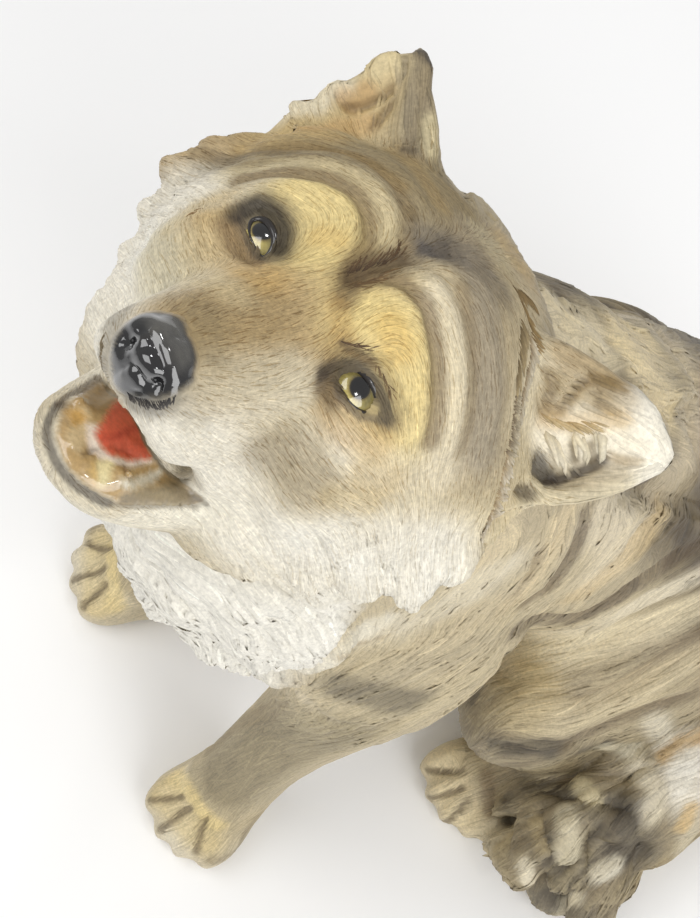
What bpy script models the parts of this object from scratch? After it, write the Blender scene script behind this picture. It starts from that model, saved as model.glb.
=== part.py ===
"""Sitting wolf figurine, about 38 cm tall, cast in one piece.

The frame is metres with +Z up. The wolf faces -Y and its left side is +X. The body is symmetric about
X = 0, apart from the tail, which lies round the left haunch, and the head, which is raised and turned
a little to the left. The sizes below are measured from the ground under the shoulders. The finished
casting is moved so that the origin is the middle of the flat underside of the rump.
"""

import math

import bmesh
import bpy
import numpy as np
from mathutils import Matrix, Vector
from mathutils.bvhtree import BVHTree

# Mesh resolution: of the rounded masses, and of the finished casting
MASS_VOXEL = 0.0022
MASS_SMOOTHING = 20
VOXEL = 0.0013
SMOOTHING = 3
TRIANGLES = 11600
HEAD_MIDDLE = (0.0, -0.0100, -0.0100)
HEAD_REACH = 0.0700
HEAD_FINENESS = 0.006
RING_POINTS = 28
STEPS = 5

# Coat
COAT = (0.40, 0.33, 0.23, 1.0)
COAT_ROUGHNESS = 0.55

# Trunk and neck from the rump to the skull: y, z, half width, half depth
SPINE = [
    (0.1190, 0.0430, 0.0430, 0.0360),
    (0.0980, 0.0740, 0.0520, 0.0520),
    (0.0610, 0.1160, 0.0500, 0.0580),
    (0.0180, 0.1600, 0.0460, 0.0600),
    (-0.0260, 0.1970, 0.0430, 0.0655),
    (-0.0540, 0.2310, 0.0415, 0.0675),
    (-0.0730, 0.2610, 0.0405, 0.0600),
    (-0.0880, 0.2870, 0.0410, 0.0500),
]
SPINE_SQUARENESS = 2.15
CHEST_CENTRE = (0.0020, -0.0835, 0.2150)
CHEST_RADII = (0.0400, 0.0450, 0.0710)
THROAT_CENTRE = (0.0045, -0.1025, 0.2660)
THROAT_RADII = (0.0400, 0.0380, 0.0540)
RUMP_CENTRE = (0.0, 0.0980, 0.0370)
RUMP_RADII = (0.0420, 0.0400, 0.0430)

# Forelegs, left one: x, y, z of the centre, radius across, radius along
FORELEG = [
    (0.0450, -0.0875, 0.0180, 0.0168, 0.0170),
    (0.0430, -0.0820, 0.0400, 0.0145, 0.0160),
    (0.0410, -0.0740, 0.0760, 0.0148, 0.0180),
    (0.0395, -0.0600, 0.1080, 0.0180, 0.0265),
    (0.0380, -0.0500, 0.1420, 0.0225, 0.0360),
    (0.0310, -0.0470, 0.1800, 0.0220, 0.0390),
    (0.0210, -0.0440, 0.2140, 0.0160, 0.0300),
]
FOREPAW = (0.0460, -0.0912)
FOREPAW_SIZE = (0.0385, 0.0430, 0.0240)
FOREPAW_TURN = 24.0

# Hind legs, left one
THIGH_CENTRE = (0.0460, 0.0640, 0.0700)
THIGH_RADII = (0.0360, 0.0600, 0.0630)
THIGH_PITCH = 28.0
KNEE_CENTRE = (0.0590, 0.0180, 0.0760)
KNEE_RADII = (0.0210, 0.0290, 0.0330)
SHANK = [
    (0.0590, 0.0220, 0.0640, 0.0190, 0.0230),
    (0.0630, 0.0360, 0.0400, 0.0180, 0.0220),
    (0.0660, 0.0480, 0.0210, 0.0160, 0.0180),
]
SHIN = [
    (0.0620, 0.0880, 0.0160, 0.0130, 0.0150),
    (0.0670, 0.0560, 0.0170, 0.0155, 0.0155),
    (0.0700, 0.0240, 0.0175, 0.0170, 0.0160),
]
HINDPAW = (0.0710, 0.0100)
HINDPAW_SIZE = (0.0370, 0.0400, 0.0240)
HINDPAW_TURN = 12.0
TOES = 4

# Tail from its root to its tip: x, y, z of the centre, half height, half width
TAIL = [
    (0.0080, 0.1260, 0.0360, 0.0200, 0.0190),
    (0.0440, 0.1320, 0.0290, 0.0230, 0.0240),
    (0.0760, 0.1150, 0.0250, 0.0255, 0.0290),
    (0.0880, 0.0840, 0.0250, 0.0260, 0.0310),
    (0.0920, 0.0530, 0.0220, 0.0230, 0.0295),
    (0.1040, 0.0320, 0.0160, 0.0165, 0.0220),
    (0.1230, 0.0230, 0.0090, 0.0090, 0.0100),
]
TAIL_LOCK_ROWS = 9
TAIL_LOCK_ANGLES = (22, 64, 104, 140)
TAIL_LOCK_LENGTH = 0.0340
TAIL_LOCK_WIDTH = 0.0105

# Head frame: origin between the pupils, f forward along the muzzle, u up from it, x to the wolf's left
HEAD_ORIGIN = (0.0, -0.1107, 0.3516)
HEAD_PITCH = 43.9
HEAD_YAW = 13.7
HEAD_ROLL = -4.1

# Skull and upper muzzle from the nose back to the nape: f, u of the centre, half width, half height
SKULL = [
    (0.0480, -0.0142, 0.0098, 0.0084),
    (0.0430, -0.0143, 0.0130, 0.0110),
    (0.0300, -0.0149, 0.0158, 0.0144),
    (0.0160, -0.0150, 0.0190, 0.0178),
    (0.0040, -0.0142, 0.0250, 0.0220),
    (-0.0080, -0.0124, 0.0340, 0.0288),
    (-0.0250, -0.0100, 0.0410, 0.0358),
    (-0.0450, -0.0095, 0.0430, 0.0370),
    (-0.0600, -0.0100, 0.0410, 0.0362),
    (-0.0720, -0.0130, 0.0360, 0.0290),
]
SKULL_SQUARENESS = 2.35
# Rounded masses of the head, left side: centre, radii
HEAD_MASSES = [
    ((0.0260, -0.0100, -0.0200), (0.0130, 0.0230, 0.0170)),
    ((0.0325, -0.0280, -0.0230), (0.0175, 0.0230, 0.0240)),
    ((0.0375, -0.0400, -0.0110), (0.0155, 0.0190, 0.0230)),
    ((0.0180, -0.0180, -0.0390), (0.0200, 0.0260, 0.0190)),
    ((0.0165, -0.0135, 0.0030), (0.0120, 0.0095, 0.0080)),
    ((0.0090, 0.0380, -0.0185), (0.0060, 0.0115, 0.0072)),
    ((0.0122, 0.0250, -0.0232), (0.0055, 0.0180, 0.0075)),
    ((0.0175, 0.0100, -0.0300), (0.0055, 0.0110, 0.0070)),
]

# The right cheek lies a little closer in and higher than the left one, and the right ear is smaller
RIGHT_CHEEK_SHIFT = (0.0022, -0.0015, 0.0026)
RIGHT_EAR_SHARE = 0.955

# The jaw hangs a little to the left
JAW_SIDE = 0.0018
# Lower jaw from its tip back to the throat
JAW = [
    (0.0395, -0.0440, 0.0080, 0.0052),
    (0.0345, -0.0444, 0.0128, 0.0070),
    (0.0250, -0.0450, 0.0156, 0.0088),
    (0.0120, -0.0450, 0.0184, 0.0112),
    (-0.0050, -0.0430, 0.0220, 0.0150),
    (-0.0220, -0.0400, 0.0270, 0.0200),
]
# Mouth cavity, from the front of the palate to the throat: f, u of the centre, half width, half height
PALATE = [
    (0.0440, -0.0250, 0.0072, 0.0040),
    (0.0300, -0.0290, 0.0102, 0.0080),
    (0.0140, -0.0325, 0.0120, 0.0100),
    (0.0010, -0.0345, 0.0100, 0.0075),
]
MOUTH_FLOOR = [
    (0.0370, -0.0378, 0.0080, 0.0040),
    (0.0260, -0.0368, 0.0118, 0.0066),
    (0.0130, -0.0352, 0.0128, 0.0082),
    (0.0010, -0.0345, 0.0100, 0.0075),
]
TONGUE = [
    (0.0350, -0.0402, 0.0050, 0.0022),
    (0.0300, -0.0396, 0.0080, 0.0030),
    (0.0180, -0.0390, 0.0092, 0.0040),
    (-0.0020, -0.0380, 0.0085, 0.0045),
]
TOOTH_LENGTH = 0.0062
TOOTH_RADIUS = 0.0016
LOWER_TOOTH = (0.0092, 0.0335, -0.0392)
UPPER_TOOTH = (0.0092, 0.0400, -0.0215)

NOSE_CENTRE = (0.0004, 0.0488, -0.0116)
NOSE_RADII = (0.0094, 0.0056, 0.0070)
NOSTRIL = (0.0050, 0.0535, -0.0118)
NOSTRIL_RADIUS = 0.0030
NOSTRIL_DEPTH = 0.0028

# Eyes, left one: pupil, direction that it looks in, eyeball and lids
PUPIL = (0.0187, 0.0, 0.0)
GAZE = (0.30, 0.65, 0.70)
EYE_RADIUS = 0.0078
EYE_LENGTH = 0.0122
EYE_OPENING = 0.0078
LID_RADIUS = 0.0018
SOCKET_RADIUS = 0.0135
SOCKET_DEPTH = 0.0068

# Ears, left one, along the centre line: x, f, u, half width, half thickness
EAR = [
    (0.0345, -0.0450, 0.0080, 0.0210, 0.0090),
    (0.0415, -0.0510, 0.0140, 0.0205, 0.0076),
    (0.0480, -0.0580, 0.0205, 0.0165, 0.0062),
    (0.0535, -0.0635, 0.0262, 0.0100, 0.0046),
    (0.0565, -0.0662, 0.0292, 0.0034, 0.0028),
]
EAR_SIDE = (0.79, 0.0, -0.61)
EAR_WALL = 0.0040

# Locks of fur: root, tip, half width. Ruff, left side, in the head frame
RUFF_LOCKS = [
    ((0.0440, -0.0470, 0.0060), (0.0570, -0.0480, -0.0020), 0.0070),
    ((0.0450, -0.0420, -0.0020), (0.0600, -0.0420, -0.0110), 0.0075),
    ((0.0440, -0.0360, -0.0090), (0.0600, -0.0340, -0.0190), 0.0075),
    ((0.0420, -0.0300, -0.0160), (0.0595, -0.0260, -0.0270), 0.0080),
    ((0.0370, -0.0250, -0.0240), (0.0530, -0.0200, -0.0340), 0.0080),
    ((0.0310, -0.0200, -0.0310), (0.0460, -0.0140, -0.0410), 0.0080),
    ((0.0250, -0.0150, -0.0370), (0.0370, -0.0080, -0.0480), 0.0080),
    ((0.0160, -0.0100, -0.0430), (0.0250, -0.0040, -0.0540), 0.0080),
]
# Rows of locks down the throat and chest: height, x and y of the axis, widest angle, count
BIB_ROWS = [
    (0.2920, 0.0100, -0.1020, 62, 6),
    (0.2720, 0.0080, -0.0960, 72, 7),
    (0.2500, 0.0060, -0.0880, 76, 8),
    (0.2270, 0.0030, -0.0780, 74, 7),
    (0.2040, 0.0000, -0.0680, 68, 6),
    (0.1840, 0.0000, -0.0600, 58, 5),
    (0.1680, 0.0020, -0.0540, 40, 4),
]
BIB_LOCK_WIDTH = 0.0088
BIB_LOCK_LENGTH = 0.0280
LOCK_THICKNESS = 0.40


def sphere_point(along, around):
    """Point of a unit sphere, with its poles on the f axis."""
    return Vector((math.sin(along) * math.cos(around), math.cos(along), math.sin(along) * math.sin(around)))


def superellipse(angle, exponent):
    """Point of a unit superellipse."""
    c = math.cos(angle)
    s = math.sin(angle)
    power = 2.0 / exponent
    return math.copysign(abs(c) ** power, c), math.copysign(abs(s) ** power, s)


def catmull(rows, steps):
    """Smooth rows between the given ones."""
    values = np.array(rows, dtype=float)
    padded = np.vstack([2 * values[0] - values[1], values, 2 * values[-1] - values[-2]])
    out = []
    for i in range(1, len(padded) - 2):
        a, b, c, d = padded[i - 1], padded[i], padded[i + 1], padded[i + 2]
        for k in range(steps):
            t = k / steps
            out.append(0.5 * (2 * b + (c - a) * t + (2 * a - 5 * b + 4 * c - d) * t * t
                              + (3 * b - a - 3 * c + d) * t ** 3))
    out.append(values[-1])
    return np.array(out)


def object_from(name, points, faces):
    """A closed mesh object with outward faces."""
    mesh = bpy.data.meshes.new(name)
    mesh.from_pydata([tuple(p) for p in points], [], faces)
    bm = bmesh.new()
    bm.from_mesh(mesh)
    bmesh.ops.recalc_face_normals(bm, faces=bm.faces)
    bm.to_mesh(mesh)
    bm.free()
    result = bpy.data.objects.new(name, mesh)
    bpy.context.scene.collection.objects.link(result)
    return result


def loft(name, rows, side, exponent=2.0, frame=None, cap=0.6):
    """Tube through rows of x, y, z, half width, half height; the width lies along side."""
    rows = catmull(rows, STEPS)
    centres = rows[:, :3]
    tangents = np.gradient(centres, axis=0)
    tangents /= np.linalg.norm(tangents, axis=1)[:, None]
    side = np.array(side, dtype=float)
    rings = []
    for centre, tangent, (width, height) in zip(centres, tangents, rows[:, 3:5]):
        across = side - tangent * (side @ tangent)
        across /= np.linalg.norm(across)
        rings.append((centre, across, np.cross(tangent, across), width, height))
    first = cap_rings(rings[0], -tangents[0], cap)
    last = cap_rings(rings[-1], tangents[-1], cap)
    rings = first[::-1] + rings + last
    points = []
    for centre, across, up, width, height in rings:
        for k in range(RING_POINTS):
            c, s = superellipse(2 * math.pi * k / RING_POINTS, exponent)
            points.append(centre + across * width * c + up * height * s)
    faces = []
    for i in range(len(rings) - 1):
        for k in range(RING_POINTS):
            j = (k + 1) % RING_POINTS
            base = i * RING_POINTS
            faces.append((base + k, base + j, base + RING_POINTS + j, base + RING_POINTS + k))
    faces.append(tuple(range(RING_POINTS)))
    faces.append(tuple(range((len(rings) - 1) * RING_POINTS, len(rings) * RING_POINTS)))
    points = [Vector(p) for p in points]
    if frame:
        points = [frame @ p for p in points]
    return object_from(name, points, faces)


def cap_rings(ring, direction, cap):
    """Rings that close the end of a tube as a dome."""
    centre, across, up, width, height = ring
    reach = cap * min(width, height)
    out = []
    for angle in (25, 50, 70, 84):
        a = math.radians(angle)
        out.append((centre + direction * reach * math.sin(a), across, up,
                    width * math.cos(a), height * math.cos(a)))
    return out


def ellipsoid(name, centre, radii, frame=None, pitch=0.0):
    """Ellipsoid, turned by pitch about the x axis."""
    turn = Matrix.Rotation(math.radians(pitch), 3, "X")
    points = []
    rings = 16
    for i in range(1, rings):
        for k in range(RING_POINTS):
            p = sphere_point(math.pi * i / rings, 2 * math.pi * k / RING_POINTS)
            p = turn @ Vector(p[a] * radii[a] for a in range(3)) + Vector(centre)
            points.append(frame @ p if frame else p)
    poles = []
    for sign in (1, -1):
        p = turn @ Vector((0, sign * radii[1], 0)) + Vector(centre)
        poles.append(len(points))
        points.append(frame @ p if frame else p)
    faces = []
    for k in range(RING_POINTS):
        j = (k + 1) % RING_POINTS
        for i in range(rings - 2):
            base = i * RING_POINTS
            faces.append((base + k, base + j, base + RING_POINTS + j, base + RING_POINTS + k))
        faces.append((k, j, poles[0]))
        last = (rings - 2) * RING_POINTS
        faces.append((last + k, last + j, poles[1]))
    return object_from(name, points, faces)


def lock(name, root, tip, width, out, frame=None):
    """Flat pointed lock of fur whose flat side faces out."""
    root = Vector(root)
    tip = Vector(tip)
    way = tip - root
    side = way.cross(Vector(out))
    rows = []
    for along, share, lift in ((0.0, 0.7, 0.0), (0.3, 1.0, 0.05), (0.6, 0.85, 0.06), (0.85, 0.45, 0.03),
                               (1.0, 0.1, 0.0)):
        p = root + way * along + Vector(out) * lift * way.length
        rows.append((p.x, p.y, p.z, width * share, width * LOCK_THICKNESS * (0.35 + 0.65 * share)))
    return loft(name, rows, side, 2.0, frame)


def head_frame():
    """Matrix from the head frame to the frame of the figurine."""
    pitch = math.radians(HEAD_PITCH)
    forward = Vector((0, -math.cos(pitch), math.sin(pitch)))
    up = Vector((0, math.sin(pitch), math.cos(pitch)))
    base = Matrix((Vector((1, 0, 0)), forward, up)).transposed()
    roll = Matrix.Rotation(math.radians(HEAD_ROLL), 3, forward)
    yaw = Matrix.Rotation(math.radians(HEAD_YAW), 3, "Z")
    return Matrix.Translation(HEAD_ORIGIN) @ (yaw @ roll @ base).to_4x4()


def cut(target, cutter):
    """Cut one piece out of another."""
    cutter.hide_render = True
    cutter.display_type = "WIRE"
    boolean = target.modifiers.new("cut", "BOOLEAN")
    boolean.operation = "DIFFERENCE"
    boolean.solver = "EXACT"
    boolean.object = cutter
    apply_modifiers(target)
    bpy.data.objects.remove(cutter)


def apply_modifiers(target):
    """Bake the modifiers of an object into its mesh."""
    graph = bpy.context.evaluated_depsgraph_get()
    mesh = bpy.data.meshes.new_from_object(target.evaluated_get(graph))
    old = target.data
    target.modifiers.clear()
    target.data = mesh
    bpy.data.meshes.remove(old)


def along_f(rows, side=0.0):
    """Rows of the head, from f, u, half width, half height."""
    return [(side, f, u, width, height) for f, u, width, height in rows]


def torso():
    """Trunk and neck."""
    rows = [(0.0, y, z, width, depth) for y, z, width, depth in SPINE]
    return [
        loft("trunk", rows, (1, 0, 0), SPINE_SQUARENESS),
        ellipsoid("chest", CHEST_CENTRE, CHEST_RADII),
        ellipsoid("throat", THROAT_CENTRE, THROAT_RADII),
        ellipsoid("rump", RUMP_CENTRE, RUMP_RADII),
    ]


def legs():
    """Forelegs, thighs and hind legs down to the paws."""
    pieces = []
    for sign in (1, -1):
        pieces.append(loft("foreleg", flipped(FORELEG, sign), (1, 0, 0)))
        pieces.append(ellipsoid("thigh", flip(THIGH_CENTRE, sign), THIGH_RADII, pitch=THIGH_PITCH))
        pieces.append(ellipsoid("knee", flip(KNEE_CENTRE, sign), KNEE_RADII, pitch=THIGH_PITCH))
        pieces.append(loft("shank", flipped(SHANK, sign), (1, 0, 0)))
        pieces.append(loft("shin", flipped(SHIN, sign), (1, 0, 0)))
        pieces.append(paw_body(sign, FOREPAW, FOREPAW_SIZE, FOREPAW_TURN))
        pieces.append(paw_body(sign, HINDPAW, HINDPAW_SIZE, HINDPAW_TURN))
    return pieces


def paw_frame(sign, centre, turn):
    """Matrix of a paw: its toes point along -Y, turned outward."""
    turned = Matrix.Rotation(math.radians(sign * turn), 4, "Z")
    return Matrix.Translation((sign * centre[0], centre[1], 0)) @ turned


def paw_body(sign, centre, size, turn):
    """Rounded back of a paw."""
    width, length, height = size
    frame = paw_frame(sign, centre, turn)
    return ellipsoid("paw", (0, 0.08 * length, 0.40 * height),
                     (0.47 * width, 0.50 * length, 0.60 * height), frame)


def toes(sign, centre, size, turn):
    """Toes of a paw."""
    width, length, height = size
    frame = paw_frame(sign, centre, turn)
    pieces = []
    for k in range(TOES):
        offset = (k - (TOES - 1) / 2) / TOES
        reach = 0.27 - 0.80 * offset * offset
        toe = (offset * width, -reach * length, 0.36 * height)
        pieces.append(ellipsoid("toe", toe, (0.142 * width, 0.28 * length, 0.47 * height), frame))
    return pieces


def paws():
    """Toes of all four paws."""
    pieces = []
    for sign in (1, -1):
        pieces += toes(sign, FOREPAW, FOREPAW_SIZE, FOREPAW_TURN)
        pieces += toes(sign, HINDPAW, HINDPAW_SIZE, HINDPAW_TURN)
    return pieces


def tail_locks():
    """Overlapping locks along the tail, pointing to its tip."""
    rows = catmull(TAIL, 8)
    count = len(rows)
    pieces = []
    for k in range(TAIL_LOCK_ROWS):
        at = int((k + 1.2) * (count - 8) / (TAIL_LOCK_ROWS + 0.5))
        here = rows[at]
        way = Vector(rows[min(at + 2, count - 1)][:3] - rows[at - 2][:3]).normalized()
        side = way.cross(Vector((0, 0, 1))).normalized()
        for j, angle in enumerate(TAIL_LOCK_ANGLES):
            a = math.radians(angle + 22 * (k % 2) - 11)
            out = side * math.cos(a) + Vector((0, 0, 1)) * math.sin(a)
            skin = side * here[4] * math.cos(a) + Vector((0, 0, 1)) * here[3] * math.sin(a)
            root = Vector(here[:3]) + skin * 0.80
            size = 0.80 + 0.16 * ((3 * k + 2 * j) % 4)
            tip = root + way * TAIL_LOCK_LENGTH * size + skin * 0.30
            tip.z = max(tip.z, 0.004)
            pieces.append(lock("tail_lock", root, tip, TAIL_LOCK_WIDTH * size, out))
    return pieces


def head_masses(frame):
    """Skull, muzzle, cheeks and brows."""
    pieces = [loft("skull", along_f(SKULL), (1, 0, 0), SKULL_SQUARENESS, frame)]
    for sign in (1, -1):
        for centre, radii in HEAD_MASSES:
            pieces.append(ellipsoid("mass", cheek_point(centre, sign), radii, frame))
    return pieces


def cheek_point(point, sign):
    """Point of a cheek on the given side; only points away from the middle move."""
    away = min(max((point[0] - 0.018) / 0.012, 0.0), 1.0) if sign < 0 else 0.0
    side, ahead, up = (away * shift for shift in RIGHT_CHEEK_SHIFT)
    return (sign * point[0] + side, point[1] + ahead, point[2] + up)


def flip(point, sign):
    """Point on the given side."""
    return (sign * point[0],) + tuple(point[1:])


def flipped(rows, sign):
    """Rows on the given side."""
    return [flip(row, sign) for row in rows]


def mouth(frame):
    """Lower jaw and nose."""
    return [
        loft("jaw", along_f(JAW, JAW_SIDE), (1, 0, 0), 2.3, frame),
        ellipsoid("nose", NOSE_CENTRE, NOSE_RADII, frame),
    ]


def mouth_cutter(frame):
    """Hollow of the open mouth."""
    hollows = [
        loft("palate", along_f(PALATE), (1, 0, 0), 2.3, frame),
        loft("mouth_floor", along_f(MOUTH_FLOOR, JAW_SIDE), (1, 0, 0), 2.3, frame),
    ]
    return joined(hollows, VOXEL, 2)


def teeth(sign, frame):
    """Canine teeth of one side."""
    pieces = []
    for spot, way, side in ((LOWER_TOOTH, 1, JAW_SIDE), (UPPER_TOOTH, -1, 0.0)):
        root = Vector(flip(spot, sign)) + Vector((side, 0, 0))
        tip = root + Vector((0, 0.0008, way * TOOTH_LENGTH))
        rows = []
        for along, share in ((-0.5, 1.0), (0.4, 0.9), (1.0, 0.3)):
            p = root.lerp(tip, along)
            rows.append((p.x, p.y, p.z, TOOTH_RADIUS * share, TOOTH_RADIUS * share))
        pieces.append(loft("tooth", rows, (1, 0, 0), 2.0, frame))
    return pieces


def eye_axes(sign):
    """Centre of an eyeball and its axes: out, along the lids, up."""
    gaze = Vector(flip(GAZE, sign)).normalized()
    centre = Vector(flip(PUPIL, sign)) - gaze * EYE_RADIUS
    along = Vector((sign, 0, 0.0)) - gaze * gaze.dot(Vector((sign, 0, 0.0)))
    along = (along.normalized() - Vector((0, 0, 0.12))).normalized()
    up = along.cross(gaze) * sign
    if up.z < 0:
        up = -up
    return centre, gaze, along, up


def eye(sign, frame):
    """Eyeball with its lids."""
    centre, gaze, along, up = eye_axes(sign)
    pieces = [ellipsoid("eyeball", centre, (EYE_RADIUS,) * 3, frame)]
    for way in (1, -1):
        rows = []
        for k in range(7):
            t = -1 + k / 3
            side = t * EYE_LENGTH / 2
            rise = way * EYE_OPENING / 2 * (1 - t * t)
            reach = EYE_RADIUS + 0.5 * LID_RADIUS
            depth = math.sqrt(max(reach ** 2 - side ** 2 - rise ** 2, 0))
            p = centre + gaze * depth + along * side + up * rise
            rows.append((p.x, p.y, p.z, LID_RADIUS, LID_RADIUS * (1.5 if way > 0 else 1.1)))
        pieces.append(loft("lid", rows, tuple(gaze), 2.0, frame))
    return pieces


def ear(sign, frame):
    """Hollow ear."""
    share = 1.0 if sign > 0 else RIGHT_EAR_SHARE
    sized = [(x * share, f, u, width * share ** 2, thickness) for x, f, u, width, thickness in EAR]
    shell = loft("ear", flipped(sized, sign), flip(EAR_SIDE, sign), 2.0, frame)
    rows = []
    for x, f, u, width, thickness in sized[:4]:
        rows.append((sign * x, f + EAR_WALL + 0.004, u, max(width - EAR_WALL * 0.8, 0.001), thickness))
    cut(shell, loft("ear_hollow", rows, flip(EAR_SIDE, sign), 2.0, frame))
    return shell


def ruff(frame):
    """Locks round the cheeks."""
    pieces = []
    for sign in (1, -1):
        for root, tip, width in RUFF_LOCKS:
            pieces.append(lock("ruff", cheek_point(root, sign), cheek_point(tip, sign), width,
                               (sign * 0.5, 0.75, 0.3), frame))
    return pieces


def bib(body):
    """Overlapping rows of locks on the skin of the throat and chest."""
    tree = BVHTree.FromObject(body, bpy.context.evaluated_depsgraph_get())
    pieces = []
    for row, (z, x, y, span, count) in enumerate(BIB_ROWS):
        for k in range(count):
            angle = math.radians(-span + 2 * span * (k + 0.25 + 0.5 * (row % 2)) / count)
            out = Vector((math.sin(angle), -math.cos(angle), 0))
            hit = tree.ray_cast(Vector((x, y, z)) + out * 0.2, -out)[0]
            size = 0.88 + 0.12 * ((2 * row + 3 * k) % 3)
            root = hit - out * 0.10 * BIB_LOCK_WIDTH
            tip = root + Vector((0.12 * out.x, 0.12 * out.y, -1)) * BIB_LOCK_LENGTH * size
            under = tree.ray_cast(tip + out * 0.1, -out)[0]
            if under:
                tip = under + out * 0.0020
            pieces.append(lock("bib", root, tip, BIB_LOCK_WIDTH * size, out))
    return pieces


def joined(pieces, voxel, smoothing):
    """All the pieces as one closed skin."""
    bpy.ops.object.select_all(action="DESELECT")
    for piece in pieces:
        piece.select_set(True)
    bpy.context.view_layer.objects.active = pieces[0]
    bpy.ops.object.join()
    body = bpy.context.view_layer.objects.active
    remesh = body.modifiers.new("skin", "REMESH")
    remesh.mode = "VOXEL"
    remesh.voxel_size = voxel
    smooth = body.modifiers.new("smooth", "SMOOTH")
    smooth.iterations = smoothing
    smooth.factor = 0.5
    apply_modifiers(body)
    return body


def one_shell(body):
    """Only the largest shell of the skin, without closed pockets."""
    bm = bmesh.new()
    bm.from_mesh(body.data)
    left = set(bm.verts)
    shells = []
    for seed in bm.verts:
        if seed not in left:
            continue
        left.discard(seed)
        front = [seed]
        shell = [seed]
        while front:
            vertex = front.pop()
            near = {edge.other_vert(vertex) for edge in vertex.link_edges} & left
            left -= near
            front += near
            shell += near
        shells.append(shell)
    shells.sort(key=len)
    bmesh.ops.delete(bm, geom=[v for shell in shells[:-1] for v in shell], context="VERTS")
    bm.to_mesh(body.data)
    bm.free()


def coordinates(body):
    """Vertex positions of an object."""
    values = np.empty(len(body.data.vertices) * 3)
    body.data.vertices.foreach_get("co", values)
    return values.reshape(-1, 3)


def move_to(body, points):
    """Set the vertex positions of an object."""
    body.data.vertices.foreach_set("co", points.ravel())
    body.data.update()


def to_frame(points, frame):
    """Points of the figurine in the given frame."""
    inverse = np.array(frame.inverted())
    return points @ inverse[:3, :3].T + inverse[:3, 3]


def press(body, frame, centre, way, radius, depth, reach):
    """Press a round dent into the skin near a point of the given frame."""
    points = coordinates(body)
    way = np.array(Vector(way).normalized())
    away = to_frame(points, frame) - np.array(centre)
    along = away @ way
    aside = np.linalg.norm(away - along[:, None] * way, axis=1)
    share = np.clip(1 - (aside / radius) ** 2, 0, 1) ** 2 * (np.abs(along) < reach)
    turn = np.array(frame.to_3x3())
    move_to(body, points - share[:, None] * depth * (turn @ way))


def press_sockets(body, frame):
    """Eye sockets."""
    for sign in (1, -1):
        press(body, frame, flip(PUPIL, sign), flip(GAZE, sign), SOCKET_RADIUS, SOCKET_DEPTH, 0.012)


def press_nostrils(body, frame):
    """Nostrils."""
    for sign in (1, -1):
        press(body, frame, flip(NOSTRIL, sign), flip((0.5, 1.0, 0.1), sign), NOSTRIL_RADIUS,
              NOSTRIL_DEPTH, 0.006)


def stand(body):
    """Cut the undersides flat on the ground plane, with the origin under the rump."""
    bm = bmesh.new()
    bm.from_mesh(body.data)
    everything = list(bm.verts) + list(bm.edges) + list(bm.faces)
    bmesh.ops.bisect_plane(bm, geom=everything, dist=1e-6, plane_co=(0, 0, 0), plane_no=(0, 0, 1),
                           clear_inner=True)
    rims = [edge for edge in bm.edges if edge.is_boundary]
    bmesh.ops.holes_fill(bm, edges=rims, sides=0)
    bmesh.ops.triangulate(bm, faces=[face for face in bm.faces if len(face.verts) > 3])
    bmesh.ops.remove_doubles(bm, verts=bm.verts, dist=1e-5)
    bmesh.ops.recalc_face_normals(bm, faces=bm.faces)
    bmesh.ops.translate(bm, verts=bm.verts, vec=(0, -RUMP_CENTRE[1], 0))
    bm.to_mesh(body.data)
    bm.free()


def thinned(body, frame):
    """Fewer triangles, most of them on the head."""
    points = coordinates(body)
    local = to_frame(points, frame)
    reach = np.linalg.norm(local - np.array(HEAD_MIDDLE), axis=1)
    weight = np.clip((reach - HEAD_REACH) / HEAD_REACH * 2, 0.05, 1)
    group = body.vertex_groups.new(name="body")
    for level in range(1, 21):
        chosen = np.nonzero(np.round(weight * 20) == level)[0].tolist()
        group.add(chosen, level / 20, "REPLACE")
    faces = 2 * len(body.data.polygons)
    thin = body.modifiers.new("thin", "DECIMATE")
    thin.ratio = TRIANGLES / faces
    thin.use_collapse_triangulate = True
    thin.vertex_group = group.name
    thin.vertex_group_factor = HEAD_FINENESS
    apply_modifiers(body)
    body.vertex_groups.clear()


def painted(body):
    """Material of the casting."""
    material = bpy.data.materials.new("painted_resin")
    material.use_nodes = True
    shader = material.node_tree.nodes["Principled BSDF"]
    shader.inputs["Base Color"].default_value = COAT
    shader.inputs["Roughness"].default_value = COAT_ROUGHNESS
    body.data.materials.clear()
    body.data.materials.append(material)
    for face in body.data.polygons:
        face.use_smooth = True


def main():
    for old in list(bpy.data.objects):
        bpy.data.objects.remove(old)
    frame = head_frame()
    masses = torso() + legs() + [loft("tail", TAIL, (0, 0, 1))] + head_masses(frame)
    body = joined(masses, MASS_VOXEL, MASS_SMOOTHING)
    press_sockets(body, frame)
    pieces = [body] + mouth(frame) + ruff(frame) + bib(body) + paws() + tail_locks()
    for sign in (1, -1):
        pieces += [ear(sign, frame)] + eye(sign, frame)
    body = joined(pieces, VOXEL, 1)
    cut(body, mouth_cutter(frame))
    extras = [loft("tongue", along_f(TONGUE, JAW_SIDE), (1, 0, 0), 2.0, frame)]
    for sign in (1, -1):
        extras += teeth(sign, frame)
    body = joined([body] + extras, VOXEL, SMOOTHING)
    one_shell(body)
    press_nostrils(body, frame)
    thinned(body, frame)
    stand(body)
    painted(body)
    body.name = "wolf_figurine"
    body.data.name = body.name


if __name__ == "__main__":
    main()
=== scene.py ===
"""Looks of the sitting wolf figurine: a painted cast, with carved coat, glossy nose, eyes and mouth.

Lengths are metres in the frame of the model, unless a comment says mm or cm. Most places on the skin are
given as points of the picture that the camera takes (700 x 918) and are carried along the line of sight on to
the skin.
"""

import math

import bmesh
import bpy
import numpy as np
from mathutils import Matrix, Vector, kdtree
from mathutils.bvhtree import BVHTree


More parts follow.
